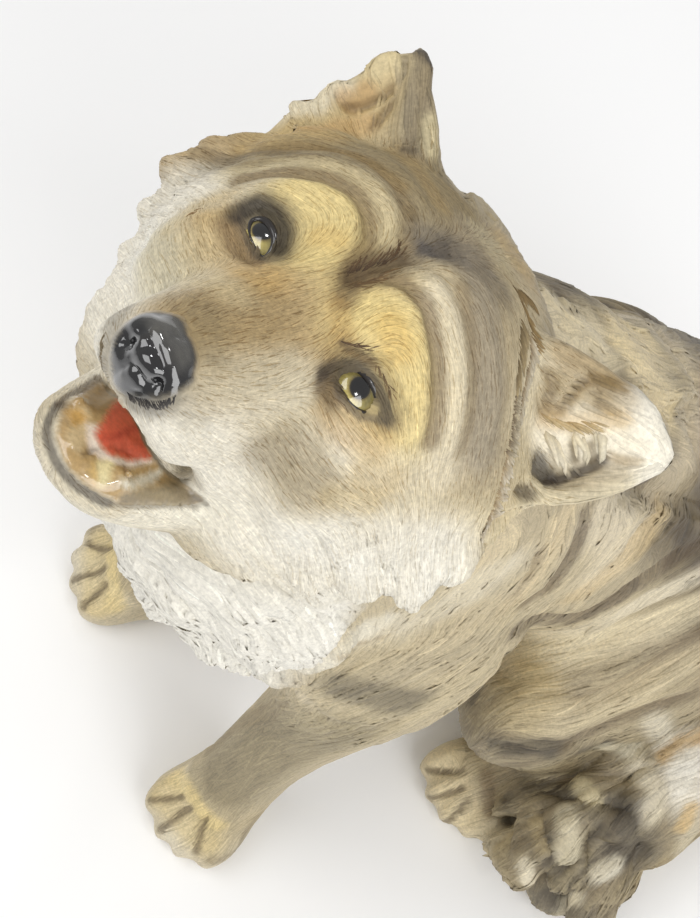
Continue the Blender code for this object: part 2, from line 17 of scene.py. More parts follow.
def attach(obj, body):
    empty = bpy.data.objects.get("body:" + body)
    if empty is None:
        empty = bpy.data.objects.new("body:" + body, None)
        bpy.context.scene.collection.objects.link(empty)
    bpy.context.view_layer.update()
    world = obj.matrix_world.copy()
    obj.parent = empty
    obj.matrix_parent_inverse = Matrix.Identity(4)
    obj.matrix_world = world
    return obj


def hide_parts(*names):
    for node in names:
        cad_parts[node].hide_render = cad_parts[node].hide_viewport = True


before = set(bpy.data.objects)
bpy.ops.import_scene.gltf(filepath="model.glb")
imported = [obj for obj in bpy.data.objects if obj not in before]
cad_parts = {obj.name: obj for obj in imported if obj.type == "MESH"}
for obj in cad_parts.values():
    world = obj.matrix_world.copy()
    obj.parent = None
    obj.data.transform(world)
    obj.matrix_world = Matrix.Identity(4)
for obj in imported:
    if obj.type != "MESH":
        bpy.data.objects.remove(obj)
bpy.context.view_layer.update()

MM = 0.001
SKIN_VOXEL = 1.35 * MM

# Camera
AZIMUTH = math.radians(37.7229)
ELEVATION = math.radians(65.2787)
ROLL = math.radians(-33.3)
FOCAL = 1872.265
WIDTH, HEIGHT = 700, 918
CAMERA = np.array((0.126889, -0.336687, 0.692715))

# Head: the point between the eyes, and the directions left, forward and up
HEAD_AT = np.array((-0.00047, -0.20873, 0.35157))
HEAD_LEFT = np.array((0.981, 0.188, -0.052))
HEAD_FORWARD = np.array((0.171, -0.700, 0.693))


def unit(v):
    return v / np.maximum(np.linalg.norm(v, axis=-1, keepdims=True), 1e-12)


def view_axes():
    back = np.array((math.sin(AZIMUTH) * math.cos(ELEVATION),
                     -math.cos(AZIMUTH) * math.cos(ELEVATION),
                     math.sin(ELEVATION)))
    level = np.array((math.cos(AZIMUTH), math.sin(AZIMUTH), 0.0))
    rise = np.cross(back, level)
    up = level * math.sin(ROLL) + rise * math.cos(ROLL)
    return np.cross(up, back), up, back


RIGHT, UP, BACK = view_axes()


def head_axes():
    left = unit(HEAD_LEFT)
    ahead = unit(HEAD_FORWARD - left * (HEAD_FORWARD @ left))
    up = unit(np.cross(ahead, left)) * -1.0
    return np.array((left, ahead, up if up[2] > 0 else -up))


HEAD_AXES = head_axes()


def to_head(points):
    return (np.asarray(points) - HEAD_AT) @ HEAD_AXES.T


def from_head(points):
    return HEAD_AT + np.asarray(points) @ HEAD_AXES


def mirrored(points):
    h = to_head(points)
    h[..., 0] *= -1.0
    return from_head(h)


def sight(x, y):
    way = RIGHT * ((x - WIDTH / 2) / FOCAL) - UP * ((y - HEIGHT / 2) / FOCAL) - BACK
    return way / np.linalg.norm(way)


def shade(red, green, blue):
    """A paint's linear colour from its everyday 0-255 values."""
    v = np.array((red, green, blue)) / 255.0
    return np.where(v <= 0.04045, v / 12.92, ((v + 0.055) / 1.055) ** 2.4)


def smoothstep(v, low, high):
    t = np.clip((v - low) / (high - low), 0.0, 1.0)
    return t * t * (3.0 - 2.0 * t)


def picture(points):
    """Where the camera sees these points."""
    d = points - CAMERA
    away = -(d @ BACK)
    return np.stack((WIDTH / 2 + FOCAL * (d @ RIGHT) / away, HEIGHT / 2 - FOCAL * (d @ UP) / away), axis=1)


def within(points, outline):
    """Which picture points lie inside a closed outline."""
    x, y = points[:, 0], points[:, 1]
    inside = np.zeros(len(points), dtype=bool)
    for (x0, y0), (x1, y1) in zip(outline, outline[1:] + outline[:1]):
        if y0 == y1:
            continue
        crosses = (y0 > y) != (y1 > y)
        inside ^= crosses & (x < (x1 - x0) * (y - y0) / (y1 - y0) + x0)
    return inside


# Meshes

def new_object(name, mesh):
    o = bpy.data.objects.new(name, mesh)
    bpy.context.scene.collection.objects.link(o)
    return o


def activate(o):
    bpy.ops.object.select_all(action="DESELECT")
    bpy.context.view_layer.objects.active = o
    o.select_set(True)


def apply(o, kind, **values):
    activate(o)
    m = o.modifiers.new(kind, kind)
    for key, value in values.items():
        setattr(m, key, value)
    bpy.ops.object.modifier_apply(modifier=m.name)


def vertices_of(mesh):
    flat = np.empty(len(mesh.vertices) * 3)
    mesh.vertices.foreach_get("co", flat)
    return flat.reshape(-1, 3)


def edges_of(mesh):
    flat = np.empty(len(mesh.edges) * 2, dtype=np.int32)
    mesh.edges.foreach_get("vertices", flat)
    return flat.reshape(-1, 2)


def normals_of(mesh):
    flat = np.empty(len(mesh.vertices) * 3)
    mesh.vertex_normals.foreach_get("vector", flat)
    return flat.reshape(-1, 3)


def set_vertices(mesh, points):
    mesh.vertices.foreach_set("co", np.ascontiguousarray(points, dtype=np.float32).ravel())
    mesh.update()


def mean_of_neighbours(values, edges, count):
    total = np.empty_like(values)
    a, b = edges[:, 0], edges[:, 1]
    n = len(values)
    for k in range(values.shape[1]):
        total[:, k] = np.bincount(a, values[b, k], n) + np.bincount(b, values[a, k], n)
    return total / count[:, None]


def smoothed(points, edges, rounds, weight=1.0, shrink=0.53):
    count = np.maximum(np.bincount(edges.ravel(), minlength=len(points)), 1)
    weight = np.broadcast_to(np.asarray(weight, dtype=float), (len(points),))[:, None]
    for _ in range(rounds):
        for factor in (0.5, -shrink):
            points = points + factor * weight * (mean_of_neighbours(points, edges, count) - points)
    return points


def refine(mesh, near_head):
    """Each quad round the head is cut in four."""
    bm = bmesh.new()
    bm.from_mesh(mesh)
    bm.verts.ensure_lookup_table()
    flags = near_head(np.array([v.co[:] for v in bm.verts]))
    edges = [e for e in bm.edges if flags[e.verts[0].index] and flags[e.verts[1].index]]
    bmesh.ops.subdivide_edges(bm, edges=edges, cuts=1, use_grid_fill=True)
    bm.to_mesh(mesh)
    bm.free()


def head_zone(points):
    h = to_head(points)
    middle = np.array((0.0, -0.012, -0.004))
    return np.linalg.norm(h - middle, axis=1) < 0.092


class Skin:
    """The cast's surface: its points, the way each faces, and what is worked out at each."""

    def __init__(self, o):
        self.object = o
        self.mesh = o.data
        self.points = vertices_of(self.mesh)
        self.edges = edges_of(self.mesh)
        self.look_up()

    def look_up(self):
        set_vertices(self.mesh, self.points)
        self.normals = normals_of(self.mesh)
        self.tree = kdtree.KDTree(len(self.points))
        for k, p in enumerate(self.points.tolist()):
            self.tree.insert(p, k)
        self.tree.balance()
        self.surface = BVHTree.FromObject(self.object, bpy.context.evaluated_depsgraph_get())

    def at(self, x, y):
        """The skin point seen at a picture point, or the closest one seen beside it."""
        for away in (0.0, 3.0, 6.0, 9.0, 12.0):
            for turn in np.arange(8) * math.pi / 4.0:
                way = sight(x + away * math.cos(turn), y + away * math.sin(turn))
                hit = self.surface.ray_cast(Vector(CAMERA), Vector(way))[0]
                if hit is not None:
                    return np.array(hit)
        return None

    def nearest(self, points):
        return np.array([self.tree.find(p)[1] for p in np.asarray(points).tolist()])

    def line(self, pixels, step=2.0 * MM):
        """The points of a path over the skin that runs through these picture points."""
        hits = [self.at(x, y) for x, y in pixels]
        ends = np.array([hit for hit in hits if hit is not None])
        if len(ends) == 0:
            raise ValueError("no skin at %s" % (pixels,))
        return self.snapped(resampled(ends, step))

    def snapped(self, points):
        k = self.nearest(points)
        off = np.sum((points - self.points[k]) * self.normals[k], axis=1)
        return points - off[:, None] * self.normals[k]

    def other(self, line):
        return self.snapped(mirrored(line))

    def sides(self, line, both):
        """The path itself, and its like on the other side of the head or of the body where it has one."""
        if both == "body":
            return line, self.snapped(line * (-1.0, 1.0, 1.0))
        return (line, self.other(line)) if both else (line,)


def resampled(points, step):
    if len(points) < 2:
        return points
    lengths = np.linalg.norm(np.diff(points, axis=0), axis=1)
    along = np.concatenate(((0.0,), np.cumsum(lengths)))
    count = max(int(along[-1] / step) + 1, 2)
    t = np.linspace(0.0, along[-1], count)
    return np.stack([np.interp(t, along, points[:, k]) for k in range(3)], axis=1)


def make_skin():
    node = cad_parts["wolf_figurine"]
    mesh = node.data.copy()
    mesh.transform(node.matrix_world)
    o = new_object("wolf_skin", mesh)
    bm = bmesh.new()
    bm.from_mesh(mesh)
    bmesh.ops.remove_doubles(bm, verts=bm.verts, dist=1e-6)
    bm.to_mesh(mesh)
    bm.free()
    apply(o, "SUBSURF", levels=1, render_levels=1)
    apply(o, "REMESH", mode="VOXEL", voxel_size=SKIN_VOXEL)
    points = smoothed(vertices_of(o.data), edges_of(o.data), 14)
    set_vertices(o.data, points)
    refine(o.data, head_zone)
    points = smoothed(vertices_of(o.data), edges_of(o.data), 5)
    points[:, 2] = np.where(points[:, 2] < 0.5 * MM, 0.0, points[:, 2])
    set_vertices(o.data, points)
    o.data.shade_smooth()
    return Skin(o)


# Carving: picture points, width and depth in mm (a depth below 0 is a ridge), and whether the far side of
# the head or of the body has it too

CARVINGS = [
    # brow furrows of the left side, from the inner to the outer one
    ([(344, 300), (352, 286), (375, 279), (402, 284), (424, 306), (433, 345), (436, 385), (432, 430),
      (424, 456)], 1.5, 1.0, False),
    ([(352, 292), (378, 286), (400, 292), (416, 312), (424, 350), (427, 390), (423, 432)], 1.6, -0.6, False),
    ([(400, 266), (430, 278), (446, 306), (455, 345), (458, 390), (452, 430), (440, 470)], 1.8, -0.8, False),
    ([(410, 262), (446, 275), (464, 310), (474, 350), (476, 400), (466, 450), (450, 490)], 1.5, 0.5, False),
    ([(450, 268), (480, 310), (492, 360), (494, 410), (482, 460), (466, 505)], 2.2, -0.7, False),
    ([(470, 258), (498, 300), (508, 350), (508, 410), (498, 455)], 1.6, 0.5, False),
    # brow furrows of the right side
    ([(352, 266), (366, 246), (368, 220), (356, 196), (330, 181), (295, 175), (258, 176),
      (228, 184)], 1.5, 1.0, False),
    ([(346, 258), (357, 240), (357, 220), (345, 202), (322, 190), (290, 184), (262, 184)], 1.6, -0.6, False),
    ([(384, 252), (392, 228), (388, 202), (368, 178), (335, 163), (290, 159), (245, 164),
      (212, 176)], 1.8, -0.8, False),
    ([(404, 240), (408, 212), (396, 188), (370, 164), (330, 150), (280, 148), (230, 154)], 1.5, 0.6, False),
    ([(420, 226), (420, 198), (398, 170), (360, 148), (310, 141), (260, 139)], 2.0, -0.5, False),
    # furrow between the brows and the dent behind it
    ([(338, 283), (352, 275), (368, 268), (388, 262), (410, 258), (428, 252)], 1.7, 1.5, False),
    ([(428, 246), (440, 252), (456, 252)], 2.0, 1.2, False),
    ([(456, 254), (480, 262), (505, 280)], 2.5, 0.4, False),
    # lid folds
    ([(322, 371), (338, 352), (358, 350), (378, 360), (392, 384), (398, 416)], 1.0, 0.6, False),
    ([(330, 388), (344, 412), (366, 428), (388, 432)], 1.6, 0.5, False),
    ([(246, 214), (262, 205), (278, 214), (286, 236), (282, 256)], 1.0, 0.6, False),
    ([(240, 226), (244, 246), (256, 268), (270, 270)], 1.6, 0.5, False),
    # muzzle: its top line, the whisker lines and the upper lip
    ([(214, 366), (250, 356), (290, 344), (318, 326)], 2.6, 0.5, True),
    ([(222, 382), (246, 396), (276, 384), (304, 366)], 1.2, 0.4, True),
    ([(236, 474), (256, 520), (262, 548)], 2.4, 0.8, True),
    ([(262, 452), (292, 480), (322, 494), (360, 508)], 1.8, 0.5, True),
    ([(330, 436), (372, 466), (392, 482), (420, 486)], 2.2, 0.4, True),
    # left ear: its hollow, the lower rim, the fringe over the hollow, folds of the back and the upper rim
    ([(534, 466), (544, 471), (554, 478)], 2.6, 3.4, False),
    ([(552, 480), (572, 475), (590, 467), (604, 458)], 1.5, 2.0, False),
    ([(604, 458), (622, 461), (648, 462)], 1.8, 0.7, False),
    ([(516, 489), (524, 493), (531, 496)], 1.9, 2.2, False),
    ([(538, 500), (580, 494), (612, 488), (650, 474)], 1.9, -0.9, False),
    ([(548, 432), (552, 452), (562, 470)], 1.4, -1.2, False),
    ([(576, 430), (580, 448), (587, 462)], 1.4, -1.2, False),
    ([(600, 428), (604, 442), (603, 456)], 1.4, -1.2, False),
    ([(566, 440), (572, 454), (572, 466)], 1.0, 1.0, False),
    ([(590, 438), (593, 450), (593, 462)], 1.0, 0.9, False),
    ([(542, 408), (556, 412), (568, 402), (576, 386), (592, 379), (612, 384)], 1.4, 0.9, False),
    ([(548, 372), (556, 384), (552, 398)], 1.6, 0.8, False),
    ([(560, 398), (572, 378), (590, 366)], 1.6, -0.6, False),
    ([(594, 392), (612, 398), (630, 398)], 1.2, 0.5, False),
    ([(592, 402), (610, 408), (628, 408)], 1.2, 0.5, False),
    ([(545, 336), (570, 350), (600, 362), (634, 390)], 1.6, -0.8, False),
    ([(545, 346), (572, 358), (600, 370)], 1.4, 0.6, False),
    # right ear: folds between its lobes, and the groove beside the tip
    ([(336, 92), (344, 104), (354, 109)], 1.4, 0.9, False),
    ([(344, 110), (366, 107), (382, 99), (397, 86)], 1.3, 1.2, False),
    ([(372, 128), (384, 114), (396, 100)], 1.3, 1.1, False),
    ([(360, 116), (378, 110), (396, 92)], 1.2, -0.7, False),
    ([(402, 80), (406, 68), (405, 59)], 1.2, 1.4, False),
    ([(318, 124), (326, 112), (322, 98)], 1.6, 0.7, False),
    ([(402, 150), (402, 120), (410, 90), (414, 66)], 2.0, -0.8, False),
    ([(414, 150), (414, 120), (420, 92), (425, 66)], 2.4, 1.0, False),
    # cheek locks
    ([(300, 520), (330, 560), (344, 600)], 1.8, 0.9, True),
    ([(352, 520), (374, 556), (382, 592)], 1.8, 0.9, True),
    ([(410, 500), (408, 545), (402, 580)], 1.8, 0.9, True),
    ([(452, 500), (440, 545), (428, 590)], 1.8, 0.8, True),
    ([(246, 540), (276, 572), (298, 600)], 1.8, 0.8, True),
    # nose: nostrils, the ridge between them, the crease below its flat top
    ([(127, 338), (129, 347)], 1.7, 1.9, False),
    ([(152, 384), (163, 388)], 1.7, 1.6, False),
    ([(137, 350), (150, 362), (158, 378)], 1.1, -0.6, False),
    ([(142, 322), (152, 338), (162, 358), (167, 376)], 1.0, 0.9, False),
    ([(156, 334), (166, 352), (173, 374)], 1.0, -0.5, False),
    ([(118, 372), (132, 362), (142, 372), (146, 390)], 0.8, 0.7, False),
    # folds of neck, shoulder and flank
    ([(584, 504), (581, 525), (568, 555), (548, 585), (520, 602)], 2.6, 1.8, "body"),
    ([(538, 545), (530, 570), (512, 590)], 2.0, 1.4, "body"),
    ([(562, 512), (552, 540), (540, 570)], 1.6, 0.7, "body"),
    ([(700, 540), (665, 560), (630, 585), (600, 605), (570, 617), (540, 616), (512, 626)], 4.2, 2.4, "body"),
    ([(700, 575), (660, 592), (620, 610), (590, 626), (555, 640)], 4.0, -1.4, "body"),
    ([(700, 636), (670, 652), (640, 672), (610, 690), (580, 700)], 3.8, 1.8, "body"),
    ([(700, 655), (670, 672), (640, 690), (600, 706), (560, 722)], 3.6, -1.4, "body"),
    ([(692, 692), (660, 702), (630, 714), (600, 727), (570, 738)], 3.6, 1.8, "body"),
    ([(660, 500), (640, 530), (612, 560), (590, 590)], 3.4, 0.9, "body"),
    ([(700, 470), (680, 505), (650, 540), (620, 572)], 3.4, -0.9, "body"),
    ([(562, 300), (600, 330), (640, 372), (660, 400)], 4.0, 1.2, "body"),
    ([(600, 302), (645, 340), (690, 390)], 4.0, -1.2, "body"),
    ([(640, 325), (680, 365), (700, 392)], 3.4, 1.2, "body"),
    # foreleg
    ([(306, 690), (320, 712), (350, 722), (390, 722), (410, 712)], 2.0, 0.9, "body"),
    ([(500, 645), (497, 670), (478, 692)], 3.0, 1.4, "body"),
    # clumps of the tail
    ([(565, 812), (568, 835), (567, 858)], 3.2, -2.0, False),
    ([(598, 874), (606, 870), (616, 864)], 2.6, -1.8, False),
    ([(524, 862), (527, 880)], 2.2, -1.5, False),
    ([(604, 742), (620, 746), (634, 750)], 3.0, -1.4, False),
    ([(652, 716), (658, 730), (664, 744)], 3.6, -1.6, False),
    ([(688, 756), (686, 776), (682, 798)], 6.0, -2.2, False),
    ([(640, 772), (656, 790), (650, 812)], 3.4, -1.6, False),
    ([(580, 782), (592, 800)], 2.4, -1.4, False),
    ([(540, 792), (572, 799), (610, 806), (646, 812)], 2.2, 2.0, False),
    ([(590, 820), (586, 846), (588, 876)], 2.2, 2.0, False),
    ([(540, 800), (545, 830), (552, 862)], 2.0, 1.6, False),
    ([(508, 796), (509, 816), (514, 830)], 2.0, 1.8, False),
    ([(636, 824), (638, 850), (626, 872)], 2.6, 1.8, False),
    ([(500, 742), (540, 742), (580, 742), (610, 736), (640, 722)], 2.6, 1.6, False),
    ([(668, 752), (680, 742), (700, 736)], 2.0, 1.2, False),
    # grooves between the toes
    ([(150, 800), (166, 799), (186, 797)], 1.3, 1.3, "body"),
    ([(160, 830), (176, 818), (194, 806)], 1.3, 1.3, "body"),
    ([(196, 852), (201, 832), (209, 812)], 1.3, 1.3, "body"),
    ([(428, 770), (445, 772), (466, 772)], 1.2, 1.1, "body"),
    ([(430, 798), (446, 794), (466, 786)], 1.2, 1.1, "body"),
    ([(446, 822), (456, 812), (470, 800)], 1.2, 1.1, "body"),
]


def near(points, line, reach):
    """Which points lie within reach of a path, how far from it they are, and how far along it from 0 to 1."""
    low, high = line.min(axis=0) - reach, line.max(axis=0) + reach
    which = np.nonzero(np.all((points > low) & (points < high), axis=1))[0]
    p = points[which]
    best = np.full(len(which), np.inf)
    along = np.zeros(len(which))
    if len(line) == 1:
        return which, np.linalg.norm(p - line[0], axis=1), along
    for k, (a, b) in enumerate(zip(line[:-1], line[1:])):
        ab = b - a
        t = np.clip((p - a) @ ab / max(ab @ ab, 1e-12), 0.0, 1.0)
        d = np.linalg.norm(p - a - t[:, None] * ab, axis=1)
        closer = d < best
        best[closer] = d[closer]
        along[closer] = (k + t[closer]) / (len(line) - 1)
    return which, best, along


def carve(skin):
    move = np.zeros(len(skin.points))
    for pixels, width, depth, both in CARVINGS:
        line = skin.line(pixels)
        for path in skin.sides(line, both):
            which, d, along = near(skin.points, path, 3.0 * width * MM)
            ends = np.clip(6.0 * along, 0.0, 1.0) * np.clip(6.0 * (1.0 - along), 0.0, 1.0)
            move[which] -= depth * MM * np.exp(-(d / (width * MM)) ** 2) * (0.25 + 0.75 * ends)
    skin.points = skin.points + skin.normals * move[:, None]
    skin.look_up()


# Which way the coat lies. Paths on the head are picture points, and those on the body are in cm.

HEAD_FLOW = [
    [(185, 330), (240, 318), (300, 312), (335, 296), (352, 278), (380, 264), (420, 252), (470, 246),
     (510, 258)],
    [(190, 345), (240, 345), (290, 336), (322, 322), (342, 300), (360, 286), (390, 280), (414, 290),
     (428, 312), (435, 350), (437, 400), (430, 445), (420, 490), (412, 550), (412, 600)],
    [(205, 378), (245, 396), (285, 380), (312, 360), (332, 340), (340, 318)],
    [(352, 342), (366, 318), (392, 304), (412, 316)],
    [(372, 346), (396, 330), (412, 345), (418, 385), (416, 430)],
    [(398, 400), (404, 430), (400, 470), (396, 520)],
    [(212, 400), (250, 410), (280, 430), (300, 462), (330, 492), (372, 508)],
    [(320, 404), (326, 430), (342, 462), (380, 488), (410, 498)],
    [(372, 432), (392, 456), (404, 490), (398, 540), (388, 588)],
    [(170, 420), (204, 452), (240, 482), (282, 526), (330, 590)],
    [(150, 450), (190, 480), (226, 520), (258, 566)],
    [(440, 266), (458, 300), (468, 350), (470, 410), (456, 470), (440, 530), (426, 590)],
    [(470, 258), (494, 300), (504, 350), (504, 410), (490, 470), (470, 530)],
    [(500, 262), (520, 300), (524, 350), (520, 410), (508, 470), (490, 520)],
    [(140, 530), (200, 575), (250, 620), (290, 668)],
    [(250, 580), (300, 620), (330, 650)],
    [(120, 545), (150, 580), (200, 620)],
]
EAR_FLOW = [
    [(535, 360), (560, 382), (600, 402), (640, 422)],
    [(542, 340), (580, 360), (620, 386)],
    [(545, 430), (558, 450), (566, 470)],
    [(575, 430), (584, 450), (588, 462)],
    [(600, 430), (606, 452)],
    [(545, 498), (600, 490), (650, 474)],
    [(636, 400), (656, 430), (664, 458)],
    [(312, 130), (300, 115), (292, 106)],
    [(332, 127), (324, 108), (318, 100)],
    [(352, 122), (352, 102), (340, 88)],
    [(368, 120), (384, 92), (386, 64)],
    [(400, 132), (404, 96), (414, 66), (426, 50)],
    [(426, 152), (424, 110), (430, 60)],
    [(380, 130), (394, 106)],
]
BODY_PICTURE_FLOW = [
    [(560, 300), (600, 325), (645, 352), (695, 385)],
    [(548, 300), (590, 345), (640, 392), (690, 440)],
    [(700, 470), (672, 510), (640, 545), (600, 585), (560, 615), (520, 632)],
    [(660, 488), (630, 520), (604, 556), (575, 590), (545, 610)],
    [(590, 505), (584, 530), (568, 560), (545, 590), (515, 605)],
    [(560, 505), (550, 535), (530, 570), (505, 600), (480, 625)],
    [(530, 505), (515, 535), (495, 565), (470, 595)],
    [(500, 525), (480, 560), (455, 590), (430, 620)],
    [(700, 560), (660, 580), (620, 605), (575, 628), (530, 645)],
    [(700, 610), (650, 635), (600, 650), (550, 662)],
    [(700, 640), (660, 665), (620, 690), (575, 708), (530, 715)],
    [(700, 680), (660, 700), (620, 718), (580, 732), (530, 735)],
    [(470, 640), (430, 660), (380, 685), (330, 705)],
    [(470, 680), (420, 705), (360, 725), (300, 740), (250, 765), (205, 790), (170, 800)],
    [(330, 700), (280, 715), (230, 745), (190, 770), (165, 780)],
    [(350, 750), (290, 762), (250, 785), (225, 815), (212, 845)],
    [(500, 700), (475, 730), (455, 755), (440, 775)],
]
BODY_FLOW = [
    # throat and chest
    [(0, -25, 28), (0, -22.6, 23), (0, -22.2, 19), (0, -20.5, 14), (0, -17, 11)],
    [(3.5, -23, 27), (4.2, -21, 22), (4.0, -19.5, 17), (3.6, -18.5, 13)],
    # nape, back and rump
    [(0, -15.5, 36), (0, -12, 32), (0, -8, 28), (0, -3, 22), (0, 2, 16), (0, 5, 10), (0, 7, 4)],
    [(3, -14, 33), (3.6, -9, 28), (4.2, -4, 22), (4.4, 1, 15), (4.2, 5, 8)],
    # flank
    [(5, -9, 24), (5.2, -7, 18), (5.4, -8, 12)],
    # forelegs
    [(5, -14.5, 14), (5.4, -15.5, 9), (5.6, -16.5, 4), (6, -19, 2), (6.2, -21, 1.2)],
    [(2.8, -15, 12), (2.6, -16, 7), (3, -18, 3), (3.4, -21, 1.2)],
    [(4.2, -17.5, 12), (4.4, -18, 7), (4.6, -19, 3.4), (5, -21, 2.2)],
    # thigh, shin and hind paw
    [(6, 1, 15), (7.6, -2, 11), (8, -5, 8), (7.8, -8, 5)],
    [(7.5, 1, 9), (8.2, -2, 6), (8.4, -6, 3), (8, -10, 2)],
    [(6, -7.5, 9), (6.8, -8.5, 5.5), (7.2, -10.5, 2.6), (7.3, -12.5, 1.2)],
    # belly
    [(0, -12, 9), (0, -9, 6), (0, -5, 5)],
]
TAIL_FLOW = [
    [(1, 3, 5), (4.5, 5.2, 4.4), (7.8, 3.6, 4.8), (9, 0, 5), (9.6, -4, 4.4), (10.6, -6.4, 3.2),
     (12.6, -7.6, 1.4)],
    [(1, 4, 1.4), (5, 6.4, 1.2), (9.6, 4.6, 1.2), (11.8, 0, 1.4), (12.4, -4, 1.4), (13, -7, 1)],
]


def guides(skin):
    """Points on the skin with the way the coat lies there."""
    paths = []
    for pixels in HEAD_FLOW + EAR_FLOW:
        line = skin.line(pixels, 5.0 * MM)
        paths += [line, skin.other(line)]
    for pixels in BODY_PICTURE_FLOW:
        paths += skin.sides(skin.line(pixels, 6.0 * MM), "body")
    for rows in BODY_FLOW + TAIL_FLOW:
        line = skin.snapped(resampled(np.array(rows) * 0.01, 12.0 * MM))
        paths.append(line)
        if rows[0][0] and rows not in TAIL_FLOW:
            paths.append(skin.snapped(line * (-1.0, 1.0, 1.0)))
    places, ways = [], []
    for line in paths:
        places.append(0.5 * (line[1:] + line[:-1]))
        ways.append(unit(line[1:] - line[:-1]))
    return np.concatenate(places), np.concatenate(ways)


def coat_flow(skin):
    places, ways = guides(skin)
    facing = skin.normals[skin.nearest(places)]
    flow = np.zeros_like(skin.points)
    for start in range(0, len(skin.points), 20000):
        p = skin.points[start:start + 20000]
        n = skin.normals[start:start + 20000]
        d2 = np.sum(p ** 2, axis=1)[:, None] + np.sum(places ** 2, axis=1)[None] - 2.0 * p @ places.T
        weight = np.clip(n @ facing.T + 0.4, 0.03, 1.4) / (np.maximum(d2, 0.0) + (4.0 * MM) ** 2) ** 1.7
        flow[start:start + 20000] = weight @ ways
    flow = unit(flow)
    return unit(flow - np.sum(flow * skin.normals, axis=1)[:, None] * skin.normals)


def scattered(skin, mask, spacing, rng):
    """Skin points about spacing apart, where the mask lets them be."""
    order = rng.permutation(len(skin.points))
    order = order[mask[order] > rng.random(len(order))]
    cells = np.floor(skin.points[order] / spacing).astype(np.int64)
    keys = cells @ np.array((1, 4096, 4096 * 4096))
    _, first = np.unique(keys, return_index=True)
    return order[np.sort(first)]


def traced(skin, flow, starts, steps, step, wander, rng):
    """Paths that follow the coat: their points, and the skin point under each."""
    p = skin.points[starts]
    k = starts
    side = rng.normal(0.0, wander, len(starts))[:, None]
    places, under = [p], [k]
    for _ in range(steps):
        way = unit(flow[k] + side * np.cross(skin.normals[k], flow[k]))
        p = p + way * step
        k = skin.nearest(p)
        p = p - np.sum((p - skin.points[k]) * skin.normals[k], axis=1)[:, None] * skin.normals[k]
        places.append(p)
        under.append(k)
    return np.stack(places, axis=1), np.stack(under, axis=1)


def locks(skin, flow, mask, width, length, spacing, seed):
    """Overlapping tapered locks: at each skin point how high, and which lock."""
    rng = np.random.default_rng(seed)
    steps = max(int(length / (0.45 * width)), 4)
    starts = scattered(skin, mask, spacing, rng)
    places, under = traced(skin, flow, starts, steps, length / steps, 0.18, rng)
    t = np.broadcast_to(np.linspace(0.0, 1.0, steps + 1), places.shape[:2]).ravel()
    who = np.repeat(np.arange(len(starts)), steps + 1)
    samples = places.reshape(-1, 3)
    ways = flow[under.ravel()]
    faces = skin.normals[under.ravel()]
    lift = rng.random(len(starts)) * 0.3
    tree = kdtree.KDTree(len(samples))
    for k, p in enumerate(samples.tolist()):
        tree.insert(p, k)
    tree.balance()
    which = np.nonzero(mask > 0.02)[0]
    p = skin.points[which]
    found = np.array([[hit[1] for hit in tree.find_n(q, 7)] for q in p.tolist()])
    off = p[:, None, :] - samples[found]
    along = np.sum(off * ways[found], axis=2)
    off = off - along[..., None] * ways[found]
    off = off - np.sum(off * faces[found], axis=2)[..., None] * faces[found]
    here = t[found] + along / length
    taper = np.clip(0.55 + 1.6 * here, 0.0, 1.0) * np.sqrt(np.clip(1.25 * (1.0 - here), 0.0, 1.0))
    half = 0.5 * width * taper
    across = np.linalg.norm(off, axis=2) / np.maximum(half, 1e-6)
    rise = np.clip(1.0 - across ** 2, 0.0, 1.0) * (0.35 + 0.65 * np.clip(here, 0.0, 1.0))
    rise = np.where(rise > 0.0, rise + lift[who[found]], 0.0)
    best = np.argmax(rise, axis=1)
    rows = np.arange(len(which))
    height = np.zeros(len(skin.points))
    number = np.zeros(len(skin.points), dtype=int)
    height[which] = rise[rows, best]
    number[which] = who[found[rows, best]]
    return height, number


# Paint: colour, reach in mm, strength, picture points, and whether the far side has it too

TAN = shade(180, 156, 112)
CREAM = shade(214, 198, 158)
YELLOW = shade(226, 204, 138)
WHITE = shade(236, 232, 220)
DARK = shade(50, 41, 34)
BLACK = shade(13, 13, 15)
# Darker colour of the fine face lines: painted shade standing for the engraved grooves of the hair
ENGRAVED_GROOVE_SHADE = np.array((0.58, 0.52, 0.42))

